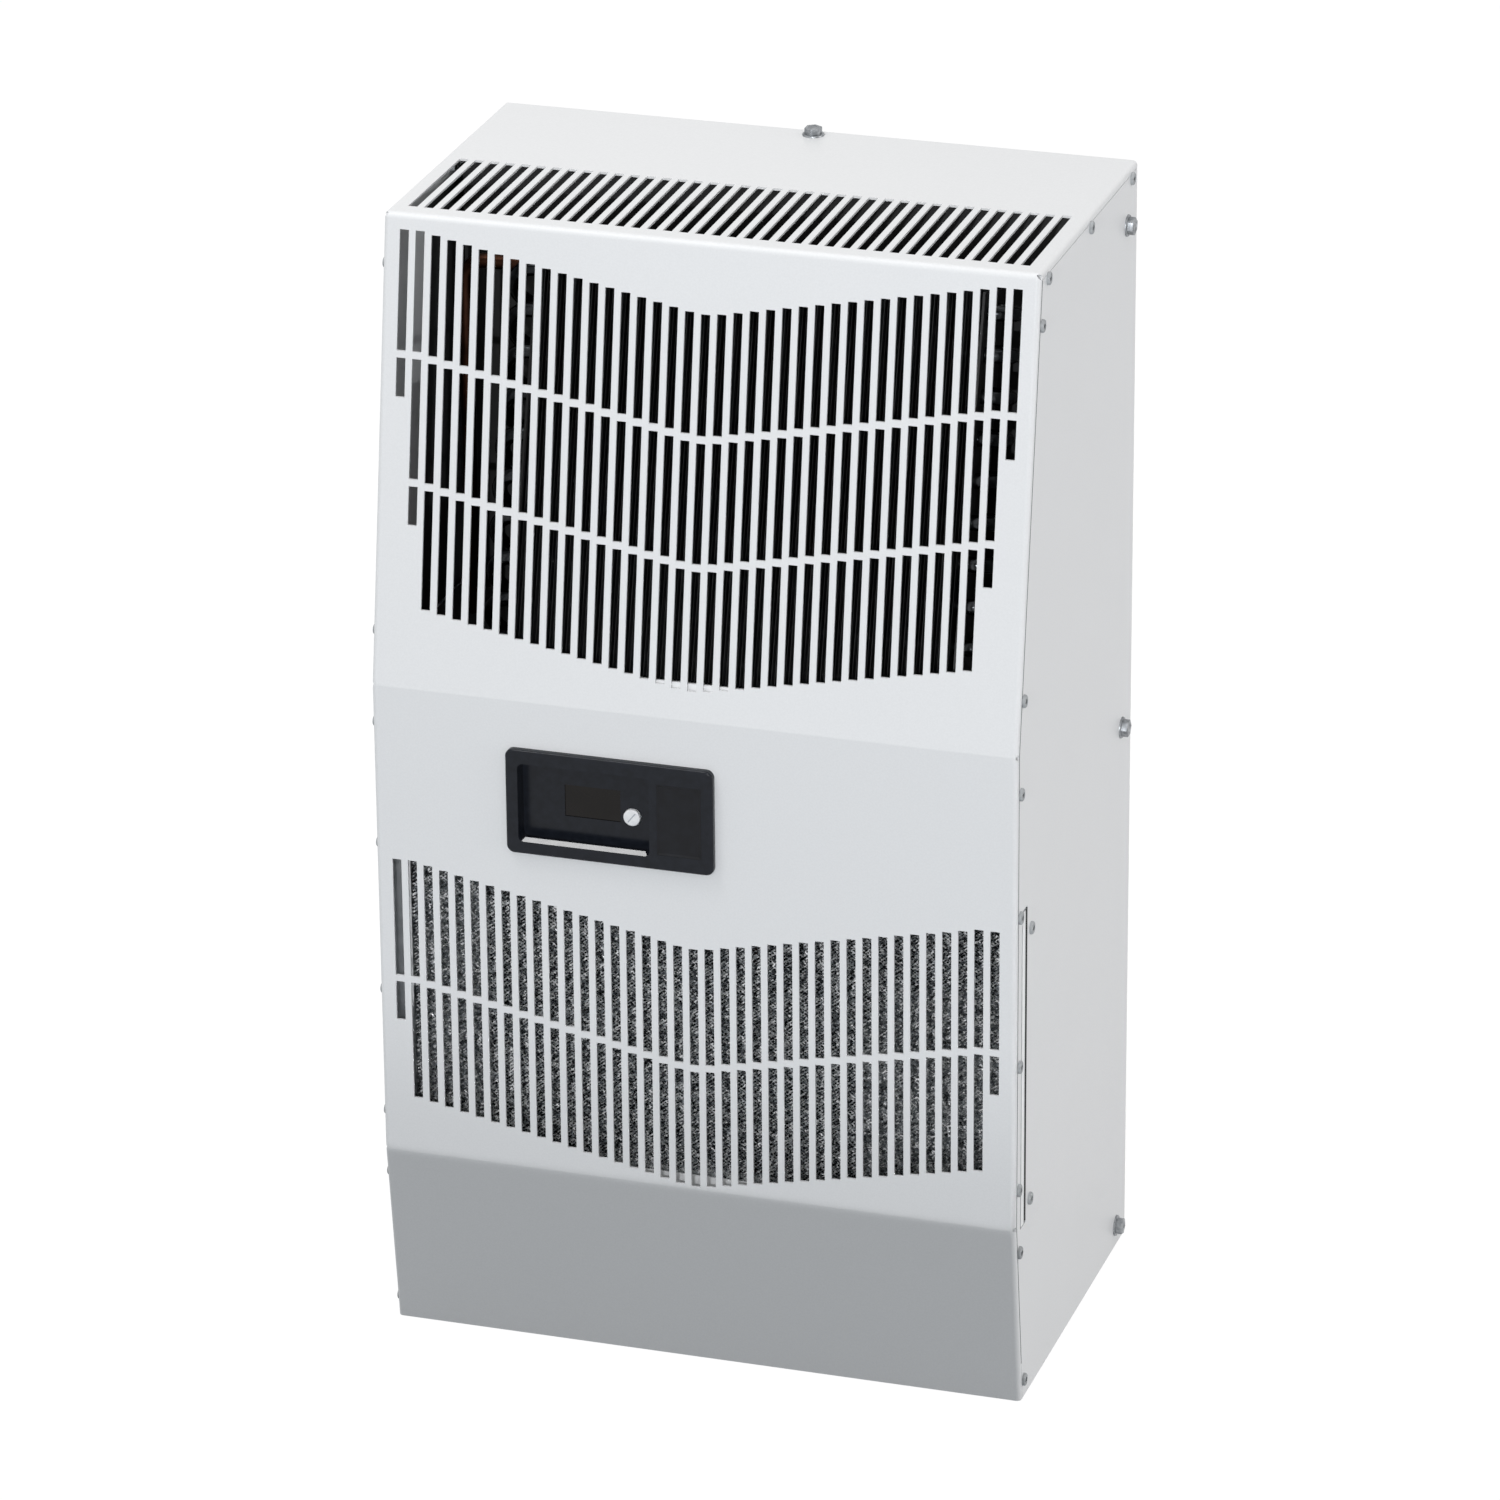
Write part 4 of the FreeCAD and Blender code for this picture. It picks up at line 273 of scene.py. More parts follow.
for name, (dark, light, tone_size, low, high, grain, depth, ior) in PLAIN_FINISHES.items():
    finishes[name], tree, shader, place = start_material(name, {"IOR": ior})
    tree.links.new(mottled(tree, place, tone_size, dark, light), shader.inputs["Base Color"])
    tree.links.new(rough_between(tree, place, tone_size, low, high), shader.inputs["Roughness"])
    skin = add_node(tree, "ShaderNodeTexNoise", {"Scale": per_mm(grain), "Detail": 2.0},
                    {"Vector": place})
    bumped(tree, shader, skin.outputs["Fac"], depth, 0.6)
print(list(finishes))

# %% [markdown]
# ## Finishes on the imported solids
# Most solids already have their real shape, so they only take a finish.

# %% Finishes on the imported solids
SOLID_FINISHES = {
    powder_coat: ["front_cover", "left_side_panel", "right_side_panel", "back_plate"],
    galvanised: ["base_pan", "filter_baffle", "evaporator_left_plate", "evaporator_right_plate",
                 "coil_brackets", "inlet_ring", "electrical_box", "electrical_cover"],
    zinc: ["shroud_bolts", "chassis_nuts", "mounting_nuts", "compressor_studs", "inlet_guard",
           "guard_screws"],
    shaded_copper: ["evaporator_tubes", "suction_elbow", "discharge_pipe", "liquid_pipe", "filter_drier",
             "capillary_tube", "suction_pipe"],
    shaded_fin: ["condenser_fins", "evaporator_fins"],
    mill_aluminium: ["filter_frame", "blower_wheel", "run_capacitor"],
    mesh_wire: ["filter_mesh"],
    finishes["satin_black_abs"]: ["control_bezel", "controller_case"],
    finishes["smoked_acrylic"]: ["display_window"],
    finishes["white_silicone"]: ["unit_button"],
    finishes["dark_label_film"]: ["badge_plate"],
    finishes["black_glass_filled_nylon"]: ["condenser_fan"],
    finishes["grey_moulded_abs"]: ["drain_pan", "drain_coupling"],
    finishes["foam_and_painted_shade"]: ["rear_gasket", "bulkhead_insulation"],
    finishes["black_rubber"]: ["compressor_grommets", "cable_bushing"],
    # the condenser motor's black is painted shade
    finishes["black_enamel_and_painted_shade"]: ["compressor", "suction_accumulator", "condenser_motor"],
    finishes["grey_motor_enamel"]: ["blower_motor"],
    # painted shade: black for the dim inside of the unit
    finishes["painted_shade_black_sheet"]: ["bulkhead", "condenser_left_plate", "condenser_right_plate",
                                     "fan_plate", "motor_bracket"],
    shaded_tinned: ["condenser_tubes"],
    finishes["white_coated_sheet"]: ["lower_filter_guide", "upper_filter_guide", "coil_deck"],
    finishes["dull_grey_screw_paint"]: ["left_side_screws", "right_side_screws"],
    finishes["terminal_resin"]: ["terminal_block"],
}
finished = set()
for material, names in SOLID_FINISHES.items():
    for name in names:
        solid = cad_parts[name]
        for holder in solid.material_slots:
            holder.material = material
        finished.add(name)
print("without a finish:", sorted(set(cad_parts) - finished))

# %% [markdown]
# ## Shaping helpers
# A piece starts as a primitive with nothing else selected. Faces, edges and points are picked in edit
# mode by a test on their place or direction, as a hand would click them.


# %% Shaping helpers
def add_shape(kind, name, **settings):
    bpy.ops.object.select_all(action="DESELECT")
    getattr(bpy.ops.mesh, f"primitive_{kind}_add")(**settings)
    bpy.ops.object.transform_apply(location=True, rotation=True, scale=True)
    bpy.context.object.name = name
    return bpy.context.object


def pick(kind, test):
    """In edit mode, select only the faces, edges or vertices that pass a test."""
    mesh = bpy.context.edit_object.data
    form = bmesh.from_edit_mesh(mesh)
    bpy.ops.mesh.select_mode(type=kind)
    bpy.ops.mesh.select_all(action="DESELECT")
    parts = {"FACE": form.faces, "EDGE": form.edges, "VERT": form.verts}[kind]
    for part in parts:
        part.select_set(bool(test(part)))
    form.select_flush_mode()
    bmesh.update_edit_mesh(mesh)


def edit(piece):
    bpy.ops.object.select_all(action="DESELECT")
    bpy.context.view_layer.objects.active = piece
    piece.select_set(True)
    bpy.ops.object.mode_set(mode="EDIT")
    bpy.ops.mesh.select_all(action="SELECT")


def leave():
    bpy.ops.object.mode_set(mode="OBJECT")


def tidy_normals(piece, angle=40):
    """Merge doubled points, turn the faces outward and keep edges over an angle sharp."""
    edit(piece)
    bpy.ops.mesh.remove_doubles(threshold=1e-6)
    bpy.ops.mesh.normals_make_consistent(inside=False)
    leave()
    bpy.ops.object.shade_smooth_by_angle(angle=math.radians(angle))


# %% [markdown]
# ## Copying and handing over
# Copies of one pattern get a mesh of their own, are moved inside it and joined, so that the finished
# object stays at the origin, unturned. A finished piece gets its material, rides on a body of the
# model and hides the plain solids that it stands for.


# %% Copying and handing over
def join(pieces, name):
    bpy.ops.object.select_all(action="DESELECT")
    for piece in pieces:
        piece.select_set(True)
    bpy.context.view_layer.objects.active = pieces[0]
    bpy.ops.object.join()
    bpy.context.object.name = name
    return bpy.context.object


def apply_modifier(piece, kind, **settings):
    bpy.context.view_layer.objects.active = piece
    modifier = piece.modifiers.new(kind.lower(), kind)
    for key, setting in settings.items():
        setattr(modifier, key, setting)
    bpy.ops.object.modifier_apply(modifier=modifier.name)


def copies(pattern, matrices, name):
    """One object made of copies of a pattern, each with its own mesh moved by a matrix."""
    made = []
    for matrix in matrices:
        copy = bpy.data.objects.new(name, pattern.data.copy())
        copy.data.transform(matrix)
        bpy.context.collection.objects.link(copy)
        made.append(copy)
    return join(made, name)


def drop(pattern):
    bpy.data.objects.remove(pattern, do_unlink=True)


def hand_over(piece, body, material, *nodes):
    """Give a finished piece its finish, the body it rides on and the solids it replaces."""
    piece.data.materials.clear()
    piece.data.materials.append(material)
    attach(piece, body)
    if nodes:
        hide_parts(*nodes)
    print(piece.name, len(piece.data.polygons), "faces")


def middles(node, spread):
    """Middles of a node's separate solids that lie further apart than a spread."""
    groups = []
    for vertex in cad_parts[node].data.vertices:
        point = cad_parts[node].matrix_world @ vertex.co
        for group in groups:
            if (group[0] - point).length < spread:
                group.append(point)
                break
        else:
            groups.append([point])
    result = []
    for group in groups:
        low = Vector(map(min, *group))
        high = Vector(map(max, *group))
        result.append((low + high) / 2)
    return result


# %% [markdown]
# ## Panel screws
# The side panels are held by pan-head screws with a cross recess. A short cylinder gets a domed rim
# by bevelling, and a cross made from a cube by extruding its four sides is cut into the top. Below,
# the shank is drawn out of the underside.

# %% Panel screws
HEAD_RADIUS, HEAD_HEIGHT, SHANK_RADIUS, SHANK_LENGTH = 3.6 * MM, 2 * MM, 1.9 * MM, 6 * MM
CROSS_ARM, CROSS_WIDTH, CROSS_DEPTH = 1.9 * MM, 0.8 * MM, 1.3 * MM

screw = add_shape("cylinder", "pan_head_screw", vertices=24, radius=HEAD_RADIUS, depth=HEAD_HEIGHT,
                  location=(0, 0, HEAD_HEIGHT / 2))
edit(screw)
pick("EDGE", lambda edge: all(v.co.z > 0.9 * HEAD_HEIGHT for v in edge.verts))
bpy.ops.mesh.bevel(offset=0.6 * HEAD_HEIGHT, segments=3, profile=0.6)
pick("FACE", lambda face: face.normal.z < -0.9)
bpy.ops.mesh.inset(thickness=HEAD_RADIUS - SHANK_RADIUS)
bpy.ops.mesh.extrude_region_move(TRANSFORM_OT_translate={"value": (0, 0, -SHANK_LENGTH)})
leave()

cross = add_shape("cube", "cross_tool", size=CROSS_WIDTH, location=(0, 0, HEAD_HEIGHT))
edit(cross)
bpy.ops.transform.resize(value=(1, 1, 2 * CROSS_DEPTH / CROSS_WIDTH),
                         center_override=(0, 0, HEAD_HEIGHT))
for axis in (0, 1):
    for side in (-1, 1):
        pick("FACE", lambda face: face.normal[axis] * side > 0.9
             and abs(face.calc_center_median()[axis]) < CROSS_WIDTH)
        reach = [0, 0, 0]
        reach[axis] = side * (CROSS_ARM - CROSS_WIDTH / 2)
        bpy.ops.mesh.extrude_region_move(TRANSFORM_OT_translate={"value": reach})
leave()
apply_modifier(screw, "BOOLEAN", operation="DIFFERENCE", solver="EXACT", object=cross)
drop(cross)
tidy_normals(screw)
print(screw.name, len(screw.data.polygons), "faces")

# %% [markdown]
# ## Screws in their places
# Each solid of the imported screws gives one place. The screws stand at different turns, as they do
# when they have been driven by hand. The guard at the back has screws of the same kind.

# %% Screws in their places
PANEL_SPREAD, GUARD_SPREAD = 9 * MM, 12 * MM  # points further apart than this are separate screws
PANEL_TURN, GUARD_TURN = 0.4, 0.5  # radians from one screw's cross to the next

OUTWARD = {1: Matrix.Rotation(math.pi / 2, 4, "Y"), -1: Matrix.Rotation(-math.pi / 2, 4, "Y")}
for node, side in (("right_side_screws", 1), ("left_side_screws", -1)):
    low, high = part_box(node)
    face = (high[0] if side > 0 else low[0]) - side * HEAD_HEIGHT
    seats = [Matrix.Translation((face, spot.y, spot.z)) @ OUTWARD[side]
             @ Matrix.Rotation(PANEL_TURN * i, 4, "Z")
             for i, spot in enumerate(middles(node, PANEL_SPREAD))]
    hand_over(copies(screw, seats, f"{node}_heads"), "casing", finishes["dull_grey_screw_paint"], node)

low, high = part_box("guard_screws")
seats = [Matrix.Translation((spot.x, high[1] - HEAD_HEIGHT, spot.z))
         @ Matrix.Rotation(-math.pi / 2, 4, "X") @ Matrix.Rotation(GUARD_TURN * i, 4, "Z")
         for i, spot in enumerate(middles("guard_screws", GUARD_SPREAD))]
hand_over(copies(screw, seats, "guard_screw_heads"), "casing", zinc, "guard_screws")
drop(screw)

# %% [markdown]
# ## Flange bolts
# Seven hex bolts with a collar hold the casing to its chassis near the wall: three on each side and
# one on top. The head is a six-sided cylinder with a broken upper edge and a shallow dish, made by
# two insets, and the collar a round one with a sloping top.

# %% Flange bolts
HEX_RADIUS, HEX_HEIGHT, COLLAR_RADIUS, COLLAR_HEIGHT = 5.8 * MM, 5.2 * MM, 7 * MM, 1.2 * MM
BOLT_RADIUS, BOLT_LENGTH = 3 * MM, 12 * MM
HEX_BREAK, HEX_ROUND = 0.7 * MM, 0.35 * MM
DISH_RIM, DISH_SLOPE, DISH_DEPTH = 1.0 * MM, 0.4 * MM, 0.5 * MM

head = add_shape("cylinder", "hex_head", vertices=6, radius=HEX_RADIUS, depth=HEX_HEIGHT,
                 location=(0, 0, HEX_HEIGHT / 2))
edit(head)
pick("EDGE", lambda edge: all(v.co.z > 0.9 * HEX_HEIGHT for v in edge.verts))
bpy.ops.mesh.bevel(offset=HEX_BREAK, segments=2)
pick("EDGE", lambda edge: abs(edge.verts[0].co.z - edge.verts[1].co.z) > 0.6 * HEX_HEIGHT)
bpy.ops.mesh.bevel(offset=HEX_ROUND, segments=2)
pick("FACE", lambda face: face.normal.z > 0.99)
bpy.ops.mesh.inset(thickness=DISH_RIM)
bpy.ops.mesh.inset(thickness=DISH_SLOPE, depth=-DISH_DEPTH)
leave()
collar = add_shape("cylinder", "collar", vertices=32, radius=COLLAR_RADIUS, depth=COLLAR_HEIGHT,
                   location=(0, 0, COLLAR_HEIGHT / 2))
edit(collar)
pick("EDGE", lambda edge: all(v.co.z > 0.9 * COLLAR_HEIGHT for v in edge.verts))
bpy.ops.mesh.bevel(offset=0.7 * COLLAR_HEIGHT, segments=2)
pick("FACE", lambda face: face.normal.z < -0.9)
bpy.ops.mesh.inset(thickness=COLLAR_RADIUS - BOLT_RADIUS)
bpy.ops.mesh.extrude_region_move(TRANSFORM_OT_translate={"value": (0, 0, -BOLT_LENGTH)})
leave()
bolt = join([collar, head], "hex_flange_bolt")
tidy_normals(bolt, 30)
print(bolt.name, len(bolt.data.polygons), "faces")

# %% [markdown]
# ## Bolts in their places
# A bolt near a side points out of that side, and the one between them points up.

# %% Bolts in their places
BOLT_SPREAD, NEAR_SIDE = 30 * MM, 150 * MM
BOLT_TURN = 0.35  # radians from one bolt's head to the next

low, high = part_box("shroud_bolts")
seats = []
for i, spot in enumerate(middles("shroud_bolts", BOLT_SPREAD)):
    spin = Matrix.Rotation(BOLT_TURN * i, 4, "Z")
    if spot.x > NEAR_SIDE:
        seats.append(Matrix.Translation((high[0] - HEX_HEIGHT, spot.y, spot.z)) @ OUTWARD[1] @ spin)
    elif spot.x < -NEAR_SIDE:
        seats.append(Matrix.Translation((low[0] + HEX_HEIGHT, spot.y, spot.z)) @ OUTWARD[-1] @ spin)
    else:
        seats.append(Matrix.Translation((spot.x, spot.y, high[2] - HEX_HEIGHT)) @ spin)
hand_over(copies(bolt, seats, "shroud_flange_bolts"), "casing", zinc, "shroud_bolts")
drop(bolt)

# %% [markdown]
# ## Filter mesh
# Expanded metal is a sheet with short slits that is pulled open, so its strands zigzag and lean. One
# pair of zigzags is repeated into a layer, then every point is nudged at random, because such pads
# are crumpled by washing. A second layer with a wider mesh stands behind. Real strands are about
# 0.4 mm wide; here they are over twice that, so that they don't vanish at picture size.

# %% Filter mesh
STRAND = 1.0 * MM
STRAND_LEAN = 0.6 * MM


def mesh_layer(name, half_wide, rise, depth, jitter, seed):
    """A layer of zigzag strands that fills the filter's opening at one depth."""
    strand = add_shape("grid", name, x_subdivisions=2, y_subdivisions=1, size=1,
                       rotation=(math.pi / 2, 0, 0))
    edit(strand)
    bpy.ops.transform.resize(value=(2 * half_wide, 1, STRAND), center_override=(0, 0, 0))
    pick("VERT", lambda vertex: abs(vertex.co.x) < half_wide / 2)
    bpy.ops.transform.translate(value=(0, 0, rise))
    pick("VERT", lambda vertex: vertex.co.z < (rise if abs(vertex.co.x) < half_wide / 2 else 0))
    bpy.ops.transform.translate(value=(0, STRAND_LEAN, 0))
    bpy.ops.mesh.select_all(action="SELECT")
    bpy.ops.mesh.duplicate_move(TRANSFORM_OT_translate={"value": (half_wide, 0, rise)})
    low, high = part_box("filter_mesh")
    columns = int((high[0] - low[0] - 2 * half_wide) / (2 * half_wide))
    rows = int((high[2] - low[2] - 2 * rise) / (2 * rise))
    bpy.ops.mesh.select_all(action="SELECT")
    bpy.ops.transform.translate(value=(low[0] + half_wide, depth, low[2]))
    leave()
    apply_modifier(strand, "ARRAY", count=columns, use_relative_offset=False,
                   use_constant_offset=True, constant_offset_displace=(2 * half_wide, 0, 0))
    apply_modifier(strand, "ARRAY", count=rows, use_relative_offset=False,
                   use_constant_offset=True, constant_offset_displace=(0, 0, 2 * rise))
    edit(strand)
    bpy.ops.transform.vertex_random(offset=jitter, seed=seed)
    leave()
    return strand


low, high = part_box("filter_mesh")
front_layer = mesh_layer("front_layer", half_wide=1.5 * MM, rise=1.2 * MM, depth=low[1] + 1.5 * MM,
                         jitter=0.65 * MM, seed=3)
rear_layer = mesh_layer("rear_layer", half_wide=2.1 * MM, rise=1.8 * MM, depth=low[1] + 4 * MM,
                        jitter=0.9 * MM, seed=8)
pad = join([front_layer, rear_layer], "filter_expanded_mesh")
hand_over(pad, "air_filter", mesh_wire, "filter_mesh")

# %% [markdown]
# ## End of the filter in its slot
# The end of the filter's frame shows in the slot of the right panel: a white strip to push by and
# behind it a thin black strip, the slot's painted shadow. Both are thin and nearly flush, because the
# slot is seen at a flat angle and anything proud would hide what lies behind it. A black trim on the
# rear edge of the slot is painted shadow too. Each is a box at its place whose outer front edge is
# bevelled.

# %% End of the filter in its slot
STRIP_DEEP, STRIP_THICK, SLOT_SHADOW_THICK, EDGE_BEVEL = 6.0 * MM, 0.2 * MM, 0.15 * MM, 0.1 * MM
TRIM_SHADOW_DEEP, TRIM_SHADOW_THICK, SLOT_REAR_PLAY, END_PLAY = 0.8 * MM, 1.7 * MM, 2.5 * MM, 0.3 * MM


def upright_bar(name, left, right, front, rear):
    """A bar over the filter's height whose outer front edge is bevelled."""
    bar = add_shape("cube", name, size=1,
                    location=((left + right) / 2, (front + rear) / 2, (low[2] + high[2]) / 2),
                    scale=(right - left, rear - front, high[2] - low[2] - 2 * END_PLAY))
    edit(bar)
    pick("EDGE", lambda edge: all(v.co.x > (left + right) / 2 and v.co.y < (front + rear) / 2
                                  for v in edge.verts))
    bpy.ops.mesh.bevel(offset=EDGE_BEVEL, segments=1)
    leave()
    tidy_normals(bar, 25)
    return bar


low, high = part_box("filter_frame")
face = high[0]
strip_rear, slot_rear = low[1] + STRIP_DEEP, high[1] + SLOT_REAR_PLAY
strip = upright_bar("filter_end_strip", face, face + STRIP_THICK, low[1], strip_rear)
# painted shadow: a black strip where the open slot lies in shade
slot_shadow = upright_bar("filter_end_painted_shadow", face, face + SLOT_SHADOW_THICK, strip_rear, high[1])
# painted shadow: a black trim on the slot's rear edge
trim_shadow = upright_bar("slot_edge_painted_shadow", face - TRIM_SHADOW_THICK, face, slot_rear - TRIM_SHADOW_DEEP, slot_rear)
hand_over(strip, "air_filter", finishes["white_coated_sheet"])
hand_over(slot_shadow, "air_filter", finishes["foam_and_painted_shade"])
hand_over(trim_shadow, "casing", finishes["black_rubber"])

# %% [markdown]
# ## Seam of the right panel
# Where the cover's edge meets the right panel there is an open seam of about half a millimetre, too
# narrow to show as a gap. A thin dark strip lies over it as the seam's painted shadow. It begins as a
# small box at the foot, whose upper face is extruded along the cover's profile from fold to fold.

# %% Seam of the right panel
SEAM_BACK, SEAM_SHADOW_WIDE, SEAM_SHADOW_PROUD = 4.7 * MM, 0.9 * MM, 0.1 * MM
# millimetres along Y and Z: above the pan, lower fold, upper fold, below the top
PROFILE = ((-120.3, 26), (-133, 126), (-133, 442.5), (-88.8, 730))
panel_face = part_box("right_side_panel")[1][0]
points = [Vector((panel_face, y * MM + SEAM_BACK, z * MM)) for y, z in PROFILE]
# painted shadow: a thin dark strip over the seam
seam_shadow = add_shape("cube", "seam_painted_shadow", size=1, location=points[0] + Vector((0, 0, SEAM_SHADOW_WIDE / 2)),
                 scale=(2 * SEAM_SHADOW_PROUD, SEAM_SHADOW_WIDE, SEAM_SHADOW_WIDE))
edit(seam_shadow)
pick("FACE", lambda face: face.normal.z > 0.9)
bpy.ops.mesh.extrude_region_move(
    TRANSFORM_OT_translate={"value": points[1] - points[0] - Vector((0, 0, SEAM_SHADOW_WIDE))})
for start, stop in zip(points[1:], points[2:]):
    bpy.ops.mesh.extrude_region_move(TRANSFORM_OT_translate={"value": stop - start})
leave()
tidy_normals(seam_shadow, 25)
hand_over(seam_shadow, "casing", finishes["painted_seam_shadow"])

# %% [markdown]
# ## Painted shade on the left wall
# Beside the condenser a black sheet lies on the wall of the left panel as painted shade, so only the
# first columns of the upper grille show the light wall. It is a flat box against the wall.
# Its front edge leans as the cover does, and its inner edges are rounded.

# %% Painted shade on the left wall
SHADE_SHEET_THICK, SHADE_SHEET_ROUND, WALL_SHADE_LEAN = 1.5 * MM, 0.6 * MM, 41 * MM
WALL_SHADE_FRONT, WALL_SHADE_REAR, WALL_SHADE_LOW, WALL_SHADE_HIGH = -16 * MM, 58 * MM, 452 * MM, 720 * MM
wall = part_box("left_side_panel")[1][0]
# painted shade: a black sheet on the wall where the inside lies in shade
wall_shade = add_shape("cube", "left_wall_painted_shade", size=1,
                  location=(wall + SHADE_SHEET_THICK / 2, (WALL_SHADE_FRONT + WALL_SHADE_REAR) / 2,
                            (WALL_SHADE_LOW + WALL_SHADE_HIGH) / 2),
                  scale=(SHADE_SHEET_THICK, WALL_SHADE_REAR - WALL_SHADE_FRONT, WALL_SHADE_HIGH - WALL_SHADE_LOW))
edit(wall_shade)
pick("VERT", lambda vertex: vertex.co.y < 0 and vertex.co.z < (WALL_SHADE_LOW + WALL_SHADE_HIGH) / 2)
bpy.ops.transform.translate(value=(0, -WALL_SHADE_LEAN, 0))
pick("EDGE", lambda edge: all(v.co.x > wall + SHADE_SHEET_THICK / 2 for v in edge.verts))
bpy.ops.mesh.bevel(offset=SHADE_SHEET_ROUND, segments=2)
leave()
tidy_normals(wall_shade)
hand_over(wall_shade, "casing", finishes["foam_and_painted_shade"])

# %% [markdown]
# ## Painted shade on the deck
# The same black sheet lies as painted shade on the left end of the deck, beside the coil, so that no
# light sheet shows behind the lowest slots there. It is a flat box from wall to coil with rounded upper
# edges. Two holes are punched where pipes come up through the deck.

# %% Painted shade on the deck
DECK_SHADE_LEFT, DECK_SHADE_RIGHT, DECK_SHADE_FRONT, DECK_SHADE_REAR = -203.2 * MM, -123.5 * MM, -122 * MM, 20 * MM
DECK_SHADE_LOW = 450.1 * MM  # just above the deck's sheet
PIPE_PLACES, PIPE_HOLE = ((-179.5 * MM, -20.5 * MM), (-190.5 * MM, -105 * MM)), 5.5 * MM
# painted shade: a black sheet on the deck where the inside lies in shade
deck_shade = add_shape("cube", "deck_painted_shade", size=1,
                location=((DECK_SHADE_LEFT + DECK_SHADE_RIGHT) / 2, (DECK_SHADE_FRONT + DECK_SHADE_REAR) / 2,
                          DECK_SHADE_LOW + SHADE_SHEET_THICK / 2),
                scale=(DECK_SHADE_RIGHT - DECK_SHADE_LEFT, DECK_SHADE_REAR - DECK_SHADE_FRONT, SHADE_SHEET_THICK))
edit(deck_shade)
pick("EDGE", lambda edge: all(v.co.z > DECK_SHADE_LOW + SHADE_SHEET_THICK / 2 for v in edge.verts))
bpy.ops.mesh.bevel(offset=SHADE_SHEET_ROUND, segments=2)
leave()
for x, y in PIPE_PLACES:
    punch = add_shape("cylinder", "pipe_punch", vertices=32, radius=PIPE_HOLE, depth=4 * SHADE_SHEET_THICK,
                      location=(x, y, DECK_SHADE_LOW))
    apply_modifier(deck_shade, "BOOLEAN", operation="DIFFERENCE", solver="EXACT", object=punch)
    drop(punch)
tidy_normals(deck_shade)
hand_over(deck_shade, "casing", finishes["foam_and_painted_shade"])

# %% [markdown]
# ## Coil fins
# Both coils carry a stack of thin pressed fins on their tubes. One fin is a strip with three shallow
# folds along its depth. An array repeats it across the coil. The real pitch is near 1.8 mm; 2.2 mm
# is drawn, which still reads as a fine stack behind the slots.

# %% Coil fins
FIN_PITCH, FIN_WAVE, FIN_THICKNESS = 2.2 * MM, 0.5 * MM, 0.2 * MM


def fin_stack(name, node, deep, tall, tilt):
    """Fins along X that fill the box of a coil, leaning back by a tilt."""
    low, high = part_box(node)
    fin = add_shape("grid", name, x_subdivisions=4, y_subdivisions=1, size=1)
    edit(fin)
    bpy.ops.transform.resize(value=(deep, tall, 1), center_override=(0, 0, 0))
    pick("VERT", lambda vertex: round(4 * vertex.co.x / deep) % 2)
    bpy.ops.transform.translate(value=(0, 0, FIN_WAVE))
    leave()
    stand = Matrix(((0, 0, 1, 0), (1, 0, 0, 0), (0, 1, 0, 0), (0, 0, 0, 1)))
    middle = Vector((low[0] + FIN_WAVE, (low[1] + high[1]) / 2, (low[2] + high[2]) / 2))
    fin.data.transform(Matrix.Translation(middle) @ Matrix.Rotation(-tilt, 4, "X") @ stand)
    count = int((high[0] - low[0] - 2 * FIN_WAVE) / FIN_PITCH)
    apply_modifier(fin, "ARRAY", count=count, use_relative_offset=False, use_constant_offset=True,
                   constant_offset_displace=(FIN_PITCH, 0, 0))
    apply_modifier(fin, "SOLIDIFY", thickness=FIN_THICKNESS, offset=0)
    hand_over(fin, "casing", shaded_fin, node)


fin_stack("condenser_fin_stack", "condenser_fins", deep=44 * MM, tall=254 * MM,
          tilt=math.radians(16.05))
fin_stack("evaporator_fin_stack", "evaporator_fins", deep=44 * MM, tall=101.6 * MM, tilt=0)

# %% [markdown]
# ## Sill of the display recess
# The lower edge of the recess is broken by a wide polished chamfer that catches the light from
# above. It is a slim bar whose upper front edge is bevelled flat, then laid back a little, and its
# upper corners are pulled in so that the ends taper.

# %% Sill of the display recess
SILL_LEFT, SILL_RIGHT, SILL_LOW, SILL_FRONT = -109.5 * MM, -27.5 * MM, 350.6 * MM, -137.3 * MM
SILL_DEEP, SILL_TALL, SILL_CHAMFER, SILL_LAY_BACK = 3.4 * MM, 2.6 * MM, 2.3 * MM, 0.4 * MM
SILL_TAPER, NEARLY = 2 * MM, 0.1 * MM
sill_middle = (SILL_LEFT + SILL_RIGHT) / 2

sill = add_shape("cube", "recess_sill", size=1,
                 location=(sill_middle, SILL_FRONT + SILL_DEEP / 2, SILL_LOW + SILL_TALL / 2),
                 scale=(SILL_RIGHT - SILL_LEFT, SILL_DEEP, SILL_TALL))
edit(sill)
pick("EDGE", lambda edge: all(v.co.z > SILL_LOW + SILL_TALL / 2 and v.co.y < SILL_FRONT + SILL_DEEP / 2
                              for v in edge.verts))
bpy.ops.mesh.bevel(offset=SILL_CHAMFER, segments=1)
pick("VERT", lambda vertex: vertex.co.z > SILL_LOW + SILL_TALL - NEARLY
     and vertex.co.y < SILL_FRONT + SILL_CHAMFER + NEARLY)
bpy.ops.transform.translate(value=(0, SILL_LAY_BACK, 0))
for side in (-1, 1):
    pick("VERT", lambda vertex: side * (vertex.co.x - sill_middle) > 0
         and vertex.co.z > SILL_LOW + SILL_TALL - NEARLY)
    bpy.ops.transform.translate(value=(-side * SILL_TAPER, 0, 0))
leave()
tidy_normals(sill, 25)
hand_over(sill, "casing", finishes["polished_black_abs"])

